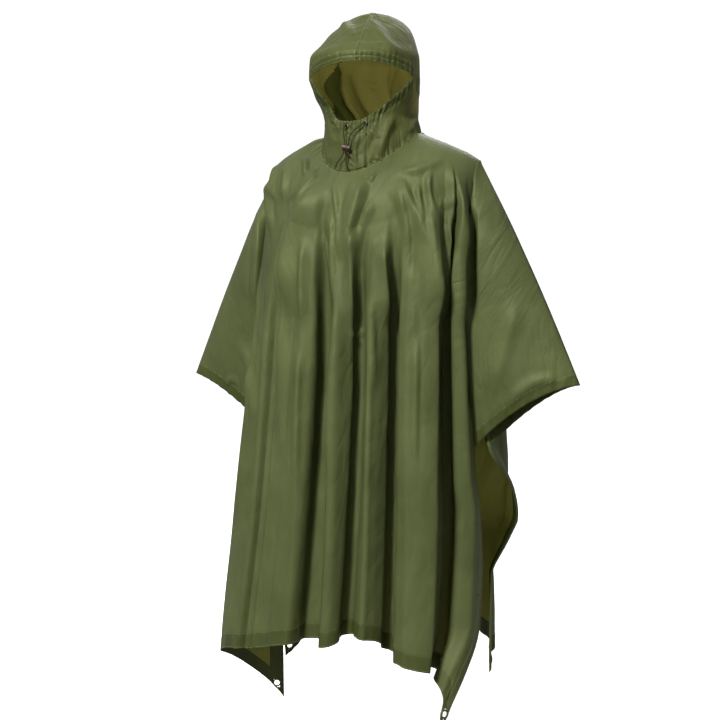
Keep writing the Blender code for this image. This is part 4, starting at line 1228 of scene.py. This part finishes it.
def make_panel(face, panel, materials):
    """A panel's cloth with its hems, eyelets and studs. Returns the cloth and all its pieces."""
    angles, rows = fine_columns(), fine_rows()
    body = panel.body(angles[None, :], rows[:, None])
    cloth = Cloth()
    across = run_lengths(body, 1)
    across -= across[:, [len(angles) // 2]]
    down = run_lengths(body, 0)
    values = {"angle": angles[None, :], "row": rows[:, None], "out": 0.0, "beyond": 0.0}
    cloth.add_grid("body", body, weave_of(across, down), values)
    sleeve_rows = rows[rows <= 3]
    shares = np.linspace(0, 1, SLEEVE_COLUMNS + 1) ** 0.92
    for side, hand in SIDES.items():
        grid = panel.sleeve(hand, shares[None, :], sleeve_rows[:, None])
        edge = -1 if hand > 0 else 0
        beyond = run_lengths(grid, 1)
        weave = weave_of(across[: len(sleeve_rows), [edge]] + hand * beyond, run_lengths(grid, 0))
        values = {"angle": 90.0 * hand, "row": sleeve_rows[:, None], "out": shares[None, :], "beyond": beyond}
        cloth.add_grid(f"sleeve_{side}", grid, weave, values)
    cloth.weld(lambda middle: np.array([0, panel.side, 0.3]))
    cloth.points = cloth.points + cloth.normals() * panel_detail(face, panel, cloth)[:, None]
    corners = {}
    for side in SIDES:
        corners[side] = cloth.punch(f"corner_eyelet_{face}_{side}", CORNER_HOLE_RADIUS)
    # The hems lie double. Their cloth is also painted darker there, as painted shade.
    doubled_and_shaded = (cloth.values["row"] >= 4) | ((cloth.values["row"] >= 2) & (cloth.values["out"] > 0))
    cloth_materials = [*materials, DOUBLED_SHADED, DOUBLED_SHADED]
    piece = new_piece(f"{face}_cloth", cloth.points, cloth.faces, cloth_materials, cloth.weave, doubled_and_shaded)
    finish_piece(add_wall(piece, SHELL), "taffeta", f"{face}_panel")
    index = cloth.grids["body"]
    trim = [hem_strip(f"{face}_bottom_hem", cloth, index[rows >= 4], f"hem_{face}")]
    for side, hand in SIDES.items():
        wide = angles * hand >= 90 - SIDE_HEM_ANGLE
        low = (rows >= 3) & (rows <= 4)
        edge = index[np.ix_(low, wide)]
        trim.append(hem_strip(f"{face}_side_hem_{side}", cloth, edge, f"side_hem_{face}_{side}"))
        cuff = cloth.grids[f"sleeve_{side}"][sleeve_rows >= 2]
        trim.append(hem_strip(f"{face}_sleeve_hem_{side}", cloth, cuff, f"sleeve_hem_{face}_{side}"))
        node = f"corner_eyelet_{face}_{side}"
        trim.append(eyelet(f"{face}_{side}_eyelet", CORNER_EYELET, corners[side], node))
    # Two lines of stitches on the bottom hem, one on each side and sleeve hem and below the neck seam.
    lines = [index[np.argmin(abs(rows - at))] for at in HEM_LINES]
    lines.append(index[1][np.abs(angles) <= NECK_SPAN])
    for side, hand in SIDES.items():
        column = np.argmin(abs(angles - hand * (90.6 - SIDE_HEM_ANGLE)))
        lines.append(index[rows >= 3, column])
        lines.append(cloth.grids[f"sleeve_{side}"][np.argmin(abs(sleeve_rows - SLEEVE_HEM_LINE))])
    trim.append(finish_piece(stitches(f"{face}_stitches", cloth, lines), "hem_taffeta"))
    if face == "front":
        for side in SIDES:
            node = f"press_stud_{side}"
            place = np.array(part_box(node)).mean(axis=0)
            near = np.argmin(np.linalg.norm(cloth.points - place, axis=1))
            normal = cloth.normals()[near]
            place = cloth.points[near] + normal * SHELL
            stud = turned(f"{side}_snap_cap", STUD_PROFILE, place, normal, BRASS)
            trim.append(finish_piece(stud, "eyelet_metal", node))
    return piece, trim


# ---------------------------------------------------------------- the hood's cloth
FINE_HOOD_FOLDS = table(
    ROUND_FOLDS,
    [
        (-170, 0.005, 6.0, 0.20, 0.12, 60),
        (-154, -0.012, 5.0, 0.18, 0.12, 30),
        (-141, -0.022, 5.0, 0.19, 0.14, 40),
        (-128, 0.006, 5.0, 0.19, 0.10, 30),
        (-112, -0.007, 4.0, 0.18, 0.10, 10),
        (-100, 0.004, 4.0, 0.17, 0.10, 0),
        (118, -0.005, 4.0, 0.17, 0.10, 0),
        (138, 0.004, 4.0, 0.18, 0.10, 0),
        (150, -0.014, 3.5, 0.18, 0.12, 0),
        (159, -0.012, 3.0, 0.18, 0.12, 0),
        (170, 0.004, 6.0, 0.18, 0.10, 0),
    ],
)
BRIM_STITCH_ROWS = (0.06, 0.50, 0.97, 1.10)
CHIN_STITCH_ROWS = (1.06, 1.92)
SEAM_STITCH_ANGLES = (2.4, -2.4, 177.6, -177.6)  # beside the seam, in front and behind
PLACKET_SPAN = (-1.2, 22)  # degrees from its free front edge to its sewn edge
PLACKET_WALL = 0.0005
PLACKET_GAP = 0.0003  # between the placket and the hood under it
STITCH_DENT = 0.07  # half width of the dent that a line of stitches draws, in rows of a casing
CASING_PITCH = 0.012  # of the puckers between the stitches of a casing
THROAT_LENGTH = 0.09  # cloth from the neck seam up to the chin's casing
HOOD_LUMPS = (0.05, 0.05, 0.07)
HOOD_CRUMPLES = (0.030, 0.030, 0.045)
CASING_LUMPS = (0.014, 0.014, 0.010)
THROAT_CRUMPLES = (0.028, 0.028, 0.036)
# The band of the hood's right half whose inner side is painted darker, as painted shade: the angles between
# which it lies at its lower height, the degrees by which each limit moves for each metre up, and its lower
# and upper height.
SHADE_BAND_ANGLES = (-136, -107)
SHADE_BAND_DRIFTS = (-60, -290)
SHADE_BAND_HEIGHTS = (0.07, 0.20)
HOOD_MIDDLE = np.array([0, -0.03, 0.08])


def hood_detail(cloth):
    """How far each point of the hood is moved outwards."""
    v, points = cloth.values, cloth.points
    angle, row, upper = v["angle"], v["row"], v["upper"] > 0
    beside = np.abs(angle)
    arc = angle * HOOD_DEGREE_WIDTH
    height = points[:, 2]
    total = fold_reach(FINE_HOOD_FOLDS, angle, height)
    total += seen_creases("hood", points, cloth.normals())
    total += 0.0010 * lumps(points, HOOD_LUMPS, 51)
    total += 0.0007 * crumple(points, HOOD_CRUMPLES, 53)
    parted = ease((OPENING_SPAN + 3 - beside) / 6)
    # The brim's casing: rows of stitches with puckers between them.
    near = np.where(upper, np.where(row < 1, 1.0, np.exp(-(row - 1) * 0.15 / 0.010)), 0.0) * parted
    across, upwards = ripple(arc, CASING_PITCH, 61), ripple(height, CASING_PITCH, 63)
    total += near * (0.0004 + 0.0010 * across * (0.6 + 0.4 * upwards))
    for at in BRIM_STITCH_ROWS:
        total -= 0.0009 * near * upper * np.exp(-(((row - at) / STITCH_DENT) ** 2))
    # The chin's casing is gathered on the drawcord, and its gathers run out below it.
    below = np.clip(1 - row, 0, 1) * THROAT_LENGTH
    near = np.where(upper, 0.0, np.where(row > 1, 1.0, np.exp(-below / 0.007))) * parted
    gathered = 0.0009 + 0.0007 * np.exp(-((beside / 40) ** 2))
    total += near * gathered * (ripple(arc, CASING_PITCH, 67) + 0.6 * ripple(arc, 0.007, 68))
    total += near * 0.0016 * lumps(points, CASING_LUMPS, 69)
    for at in CHIN_STITCH_ROWS:
        total -= 0.0008 * near * (~upper) * np.exp(-(((row - at) / STITCH_DENT) ** 2))
    # Gathers above the neck seam.
    run_out = 0.006 + 0.010 * ease(0.5 + 0.5 * ripple(arc, 0.050, 74))
    near = np.where(upper | (row < 0), 0.0, np.exp(-np.clip(row, 0, 9) * THROAT_LENGTH / run_out))
    total += near * 0.0022 * (ripple(arc, 0.015, 71) + 0.6 * ripple(arc, 0.008, 72))
    total += 0.0016 * np.where(upper, 0.0, 1.0) * crumple(points, THROAT_CRUMPLES, 75)
    # The felled seam over the crown, down the back and down the throat.
    radius = np.hypot(points[:, 0], points[:, 1] - HOOD_MIDDLE[1])
    off = np.minimum(beside, 180 - beside) * np.pi / 180 * np.maximum(radius, 0.02)
    total += 0.0009 * np.exp(-((off / 0.0035) ** 2))
    total -= 0.0006 * np.exp(-(((off - 0.0065) / 0.0020) ** 2))
    total += 0.0012 * np.exp(-((off / 0.012) ** 2)) * ripple(height + 0.6 * np.abs(arc), 0.014, 73)
    held = ease((row + 1) / 0.9)
    return (total + SHELL_FOOT) * np.where(upper, 1.0, held)


def make_hood(materials):
    """The hood's cloth, its casings, the placket, the throat's eyelets and the stitches. Returns the cloth
    and its pieces.
    """
    opened = np.linspace(0, OPENING_SPAN, 73)
    side = np.concatenate([opened, np.linspace(OPENING_SPAN, 180, 61)[1:]])
    angles = np.concatenate([-side[:0:-1], side])
    rows_below = np.concatenate([[-1, -0.5], np.linspace(0, 1, 41), np.linspace(1, 2, 13)[1:]])
    rows_above = np.concatenate([np.linspace(0, 1, 13), np.linspace(1, 2, 47)[1:]])
    hand, beside = np.sign(angles)[None, :], np.abs(angles)[None, :]
    below = hood_below(hand, beside, rows_below[:, None])
    above = hood_above(hand, beside, rows_above[:, None])
    cloth = Cloth()
    down = 0.0
    for name, grid, rows in (("below", below, rows_below), ("above", above, rows_above)):
        # The map is measured from the back seam on both sides and meets at the front.
        across = run_lengths(grid, 1)
        across = np.where(angles < 0, across, across - across[:, [-1]])
        length = down + run_lengths(grid, 0)
        values = {"angle": angles[None, :], "row": rows[:, None], "upper": float(name == "above")}
        cloth.add_grid(name, grid, weave_of(across, length), values)
        down = length[-1:]
    cloth.weld(lambda middle: middle - HOOD_MIDDLE)
    cloth.points = cloth.points + cloth.normals() * hood_detail(cloth)[:, None]
    holes = {side: cloth.punch(f"throat_eyelet_{side}", THROAT_HOLE_RADIUS) for side in SIDES}
    # The casings lie double. Their cloth is also painted darker there, as painted shade.
    cased_and_shaded = np.abs(cloth.values["angle"]) <= OPENING_SPAN
    cased_and_shaded &= np.where(cloth.values["upper"] > 0, cloth.values["row"] <= 1, cloth.values["row"] >= 1)
    # A band of the hood's right half is painted darker on its inner side, as painted shade.
    angle, height = cloth.values["angle"], cloth.points[:, 2]
    above_lower = height - SHADE_BAND_HEIGHTS[0]
    first, last = (at + drift * above_lower for at, drift in zip(SHADE_BAND_ANGLES, SHADE_BAND_DRIFTS))
    painted_shade_band = (angle > first) & (angle < last) & (height < SHADE_BAND_HEIGHTS[1])
    cloth_materials = [*materials[:2], DOUBLED_SHADED, DOUBLED_SHADED, materials[0], materials[2]]
    kind = np.where(cased_and_shaded, 1, np.where(painted_shade_band, 2, 0))
    piece = new_piece("hood_cloth", cloth.points, cloth.faces, cloth_materials, cloth.weave, kind)
    finish_piece(add_wall(piece, SHELL), "taffeta", "hood_left", "hood_right")
    trim = []
    parted = np.abs(angles) <= OPENING_SPAN
    for name, index in (
        ("brim", cloth.grids["above"][np.ix_(rows_above <= 1, parted)]),
        ("chin", cloth.grids["below"][np.ix_(rows_below >= 1, parted)]),
    ):
        nodes = (f"casing_{name}_left", f"casing_{name}_right")
        trim.append(hem_strip(f"{name}_casing", cloth, index, *nodes))
    # The placket lies over the throat's opening. Its front edge stands off a little.
    flap = (angles >= PLACKET_SPAN[0]) & (angles <= PLACKET_SPAN[1])
    rows = (rows_below >= 0.05) & (rows_below <= 1)
    from_edge = cloth.values["angle"] - PLACKET_SPAN[0]
    lift = SHELL + PLACKET_GAP + 0.0016 * np.exp(-((from_edge / 3.0) ** 2))
    index = cloth.grids["below"][np.ix_(rows, flap)]
    placket = strip_of("placket", cloth, index, lift, PLACKET_WALL, materials[:2])
    trim.append(finish_piece(placket, "taffeta", "throat_placket"))
    for side in SIDES:
        node = f"throat_eyelet_{side}"
        trim.append(eyelet(f"{side}_throat_eyelet", THROAT_EYELET, holes[side], node))
    lines = [cloth.grids["above"][np.argmin(abs(rows_above - at)), parted] for at in BRIM_STITCH_ROWS]
    lines += [cloth.grids["below"][np.argmin(abs(rows_below - at)), parted] for at in CHIN_STITCH_ROWS]
    lines.append(cloth.grids["below"][4])
    for at in SEAM_STITCH_ANGLES:
        column = np.argmin(abs(angles - at))
        lines.append(cloth.grids["above"][rows_above < 1.9, column])
        if abs(at) > 90:
            lines.append(cloth.grids["below"][4:, column])
    trim.append(finish_piece(stitches("hood_stitches", cloth, lines), "hem_taffeta"))
    return piece, trim, holes


# ---------------------------------------------------------------- hardware
def turned(name, profile, place, axis, material, steps=40):
    """A piece turned round an axis through a place, from a loop of (radius, height)."""
    profile = np.array(profile)
    turn = np.linspace(0, 2 * math.pi, steps, endpoint=False)
    radius, height = profile[:, :1], profile[:, 1:]
    loop = np.stack(np.broadcast_arrays(radius * np.cos(turn), radius * np.sin(turn), height), axis=-1)
    frame_axes = np.array(Vector(axis).to_track_quat("Z", "Y").to_matrix())
    points = loop.reshape(-1, 3) @ frame_axes.T + np.array(place)
    _, first, index = np.unique(np.round(points, 7), axis=0, return_index=True, return_inverse=True)
    grid = np.arange(len(profile) * steps).reshape(len(profile), steps)
    grid = np.concatenate([grid, grid[:1]])
    grid = np.concatenate([grid, grid[:, :1]], axis=1)
    quads = index.ravel()[quads_of(grid)]
    points = points[first]
    return new_piece(name, points, facing_out(points, quads), [material])


def facing_out(points, quads):
    """Turns the sides of a closed surface outwards."""
    a, b, c, d = (points[quads[:, k]] for k in range(4))
    volume = (np.cross(c - a, d - b) * (points[quads].mean(axis=1) - points.mean(axis=0))).sum()
    return quads[:, ::-1] if volume < 0 else quads


def eyelet_profile(inner, outer):
    """A rolled eyelet round the cloth's edge, with its washer behind."""
    roll = outer - inner
    return [
        (inner, -0.0014),
        (inner, 0.0010),
        (inner + 0.15 * roll, 0.0016),
        (inner + 0.40 * roll, 0.0019),
        (inner + 0.70 * roll, 0.0016),
        (inner + 0.93 * roll, 0.0011),
        (outer, 0.0006),
        (inner + 0.35 * roll, 0.0006),
        (inner + 0.35 * roll, -0.0009),
        (outer - 0.1 * roll, -0.0009),
        (outer - 0.2 * roll, -0.0013),
        (inner + 0.4 * roll, -0.0017),
    ]


STUD_PROFILE = [
    (0.0, 0.0000),
    (0.0058, 0.0000),
    (0.0062, 0.0005),
    (0.0061, 0.0011),
    (0.0054, 0.0018),
    (0.0045, 0.0021),
    (0.0041, 0.0019),
    (0.0037, 0.0021),
    (0.0022, 0.0025),
    (0.0, 0.0026),
]
TOGGLE_PROFILE = [
    (0.0, -0.0110),
    (0.0026, -0.0110),
    (0.0036, -0.0107),
    (0.0042, -0.0100),
    (0.0043, -0.0090),
    (0.0043, -0.0026),
    (0.0040, -0.0021),
    (0.0040, 0.0021),
    (0.0043, 0.0026),
    (0.0043, 0.0090),
    (0.0042, 0.0100),
    (0.0036, 0.0107),
    (0.0026, 0.0110),
    (0.0, 0.0110),
]


CORD_TIP = ((1.12, 0.0004), (1.10, 0.0012), (0.75, 0.0018), (0.05, 0.0020))  # share of radius, step out


def tube(name, route, radius, material, around=12, closed=False):
    """A round cord along a route. Its map runs once round and along in metres. An open one ends
    in a sealed, rounded tip."""
    ahead = np.gradient(route, axis=0)
    if closed:
        ahead = np.roll(route, -1, axis=0) - np.roll(route, 1, axis=0)
    ahead /= np.linalg.norm(ahead, axis=1, keepdims=True)
    side = np.cross(ahead[0], [0.3, 1.0, 0.2])
    rings = []
    turn = np.linspace(0, 2 * math.pi, around + 1)
    for place, way in zip(route, ahead):
        side = side - way * (side @ way)
        side /= np.linalg.norm(side)
        other = np.cross(way, side)
        rings.append(place + radius * (np.outer(np.cos(turn), side) + np.outer(np.sin(turn), other)))
    if closed:
        rings.append(rings[0])
    else:
        tip = route[-1]
        for size, step in CORD_TIP:
            rings.append(tip + ahead[-1] * step + (rings[len(route) - 1] - tip) * size)
        start = route[0]
        rings.insert(0, start + (rings[0] - start) * 0.05)
    rings = np.array(rings)
    along = run_lengths(rings.mean(axis=1)[:, None], 0)
    index = np.arange(rings.shape[0] * rings.shape[1]).reshape(rings.shape[:2])
    weave = weave_of(turn / (2 * math.pi), along).reshape(-1, 2)
    points = rings.reshape(-1, 3)
    return new_piece(name, points, facing_out(points, quads_of(index)), [material], weave)


def knot_loop():
    """The closed loop of a tied knot, with three lobes that cross, in units of the knot's size."""
    t = np.linspace(0, 2 * math.pi, 72, endpoint=False)
    across = np.sin(t) + 2 * np.sin(2 * t)
    along = np.cos(t) - 2 * np.cos(2 * t)
    return np.stack([across, along, -1.3 * np.sin(3 * t)], axis=1)


def make_drawcord(holes):
    """The drawcord's two ends, the toggle that both run through and a knot on each."""
    turn = math.radians(TOGGLE_TURN)
    lengthwise = np.array([math.cos(turn), 0, -math.sin(turn)])
    through = np.array([math.sin(turn), 0, math.cos(turn)])
    centre = np.array(TOGGLE_CENTRE)
    toggle = turned("cord_toggle", TOGGLE_PROFILE, centre, lengthwise, PLASTIC, steps=48)
    axes = np.array(Vector(through).to_track_quat("Z", "Y").to_matrix())
    for side, hand in SIDES.items():
        bore = centre + lengthwise * hand * TOGGLE_HOLES
        drill(toggle, bore, through, CORD_RADIUS + CORD_CLEARANCE)
        loop = knot_loop() * KNOT_SIZE @ axes.T + (bore - through * KNOT_DROP[side])
        knot = tube(f"{side}_knot", loop, KNOT_CORD_RADIUS, BROWN_BRAID, 10, closed=True)
        finish_piece(knot, "knot_cord", f"knot_{side}")
        first, normal = holes[side]
        straight = [bore + through * 0.008, bore, bore - through * (KNOT_DROP[side] + 0.004)]
        leaving = [first, first + normal * 0.0045]
        route = smooth_route([*leaving, *CORD_ABOVE[side], *straight, *CORD_BELOW[side]], 3)
        cord = tube(f"{side}_cord", route, CORD_RADIUS, BRAID)
        finish_piece(cord, "cord", f"cord_{side}")
    finish_piece(toggle, "toggle_plastic", "toggle")


def drill(piece, place, axis, radius):
    """Cuts a round hole through a piece."""
    reach = 0.01
    profile = [(0, -reach), (radius, -reach), (radius, reach), (0, reach)]
    cutter = turned("cutter", profile, place, axis, PLASTIC, 24)
    cut = piece.modifiers.new("hole", "BOOLEAN")
    cut.operation = "DIFFERENCE"
    cut.solver = "EXACT"
    cut.object = cutter
    bake(piece)
    bpy.data.objects.remove(cutter, do_unlink=True)


def bake(piece):
    """Replaces a piece's mesh by its evaluated one and removes its modifiers."""
    evaluated = piece.evaluated_get(bpy.context.evaluated_depsgraph_get())
    mesh = bpy.data.meshes.new_from_object(evaluated)
    piece.modifiers.clear()
    piece.data = mesh


# ---------------------------------------------------------------- stitches
STITCH_PITCH = 0.0034
STITCH_LENGTH = 0.0025
STITCH_RADIUS = 0.00022
STITCH_LIFT = 0.00005  # off the cloth's outer face


def stitch_shape():
    """One thread showing between two holes of the needle."""
    half = STITCH_LENGTH / 2
    loop = [(0.3 * STITCH_RADIUS, -half), (STITCH_RADIUS, -0.6 * half), (STITCH_RADIUS, 0.6 * half)]
    loop.append((0.3 * STITCH_RADIUS, half))
    turn = np.linspace(0, 2 * math.pi, 4, endpoint=False)
    points = [(r * math.cos(a), r * math.sin(a), h) for r, h in loop for a in turn]
    faces = [[k, k + 4, (k // 4 + 1) * 4 + (k + 1) % 4, (k // 4) * 4 + (k + 1) % 4][::-1] for k in range(12)]
    mesh = bpy.data.meshes.new("stitch")
    mesh.from_pydata(points, [], [*faces, [3, 2, 1, 0], [12, 13, 14, 15]])
    mesh.shade_smooth()
    return bpy.data.objects.new("stitch", mesh)


def stitching():
    """Geometry nodes that sew along a mesh's edges."""
    tree = bpy.data.node_groups.new("stitching", "GeometryNodeTree")
    kinds = {"Line": "Geometry", "Pitch": "Float", "Stitch": "Object", "Thread": "Material"}
    for name, kind in kinds.items():
        tree.interface.new_socket(name, in_out="INPUT", socket_type=f"NodeSocket{kind}")
    tree.interface.new_socket("Sewn", in_out="OUTPUT", socket_type="NodeSocketGeometry")
    given = add_node(tree, "NodeGroupInput")
    curve_ = add_node(tree, "GeometryNodeMeshToCurve", {"Mesh": given.outputs["Line"]}).outputs["Curve"]
    settings = {"Curve": curve_, "Length": given.outputs["Pitch"]}
    points = add_node(tree, "GeometryNodeCurveToPoints", settings, mode="LENGTH")
    shape = add_node(tree, "GeometryNodeObjectInfo", {"Object": given.outputs["Stitch"]}).outputs["Geometry"]
    settings = {"Points": points.outputs["Points"], "Instance": shape, "Rotation": points.outputs["Rotation"]}
    placed = add_node(tree, "GeometryNodeInstanceOnPoints", settings).outputs["Instances"]
    real = add_node(tree, "GeometryNodeRealizeInstances", {"Geometry": placed}).outputs["Geometry"]
    settings = {"Geometry": real, "Material": given.outputs["Thread"]}
    done = add_node(tree, "GeometryNodeSetMaterial", settings).outputs["Geometry"]
    add_node(tree, "NodeGroupOutput", {"Sewn": done})
    return tree


def stitches(name, cloth, lines):
    """Stitches along lines of a cloth's points, on its outer face, as one plain mesh."""
    raised = cloth.points + cloth.normals() * (SHELL + STITCH_LIFT)
    points, edges = [], []
    for line in lines:
        line = [k for k in line if not cloth.gone[k]]
        edges += [(len(points) + k, len(points) + k + 1) for k in range(len(line) - 1)]
        points += raised[line].tolist()
    mesh = bpy.data.meshes.new(name)
    mesh.from_pydata(points, edges, [])
    piece = bpy.data.objects.new(name, mesh)
    bpy.context.scene.collection.objects.link(piece)
    sewing = piece.modifiers.new("stitching", "NODES")
    sewing.node_group = STITCHING
    sockets = {item.name: item.identifier for item in STITCHING.interface.items_tree}
    sewing[sockets["Pitch"]] = STITCH_PITCH
    sewing[sockets["Stitch"]] = STITCH
    sewing[sockets["Thread"]] = THREAD
    bake(piece)
    return piece


# ---------------------------------------------------------------- build
for light in LIGHTS:
    make_light(*light)
make_camera()

# Each cloth's two tones (of dye, and in the darker and lighter copies also of painted shade or painted
# light), the light that comes through it, its roughness and the share that comes through.
OUTSIDE = taffeta("olive_polyester_taffeta", "#31371F", "#3C4227", "#A6A472", 0.52, 0.24)
# The doubled cloth of hems and casings. Less light comes through it, and its colours are also painted darker
# than the single cloth, as painted shade.
DOUBLED_SHADED = taffeta("doubled_olive_taffeta_painted_shade", "#23280F", "#2C3118", "#8A8A50", 0.52, 0.08)
INSIDE = taffeta("coated_taffeta_back", "#4A4D22", "#56582A", "#C6C482", 0.46, 0.48)
# The hood's outer cloth is a darker copy of the panels' outer taffeta, as painted shade.
HOOD_OUTSIDE_PAINTED_SHADE = taffeta("olive_taffeta_of_the_hood_painted_shade", "#2C321B", "#363C22", "#B8B480", 0.50, 0.36)
# The hood's coated back is painted much lighter than the panels' same coated back, as painted light for the
# light that comes through the hood.
HOOD_INSIDE_PAINTED_LIGHT = taffeta("coated_back_of_the_hood_painted_light", "#7A7A3E", "#86824A", "#E8E2A8", 0.42, 0.52)
# A darker copy of the hood's coated back for a band inside the hood, as painted shade.
HOOD_PAINTED_SHADE = taffeta("painted_shade_inside_the_hood", "#3C4624", "#46502A", "#9CA468", 0.50, 0.34)
THREAD = thread("polyester_thread", "#7C8450")
BRASS = metal("blackened_brass", "#6A6450", "#2A2820", 0.42)
PLASTIC = plastic("brown_acetal", "#1E100A", "#341C12", 0.60)
BRAID = braid("dark_olive_braid", "#0C0E04", "#2A2C12")
BROWN_BRAID = braid("brown_braid", "#140804", "#3C2014")
STITCH = stitch_shape()
STITCHING = stitching()
front_piece, front_trim = make_panel("front", FRONT, [OUTSIDE, INSIDE])
back_piece, back_trim = make_panel("back", BACK, [OUTSIDE, INSIDE])
hood_piece, hood_trim, throat_holes = make_hood([HOOD_OUTSIDE_PAINTED_SHADE, HOOD_INSIDE_PAINTED_LIGHT, HOOD_PAINTED_SHADE])
make_drawcord(throat_holes)

make_floor()
bpy.context.scene.world = pale_room()
bpy.context.scene.view_settings.view_transform = "Standard"
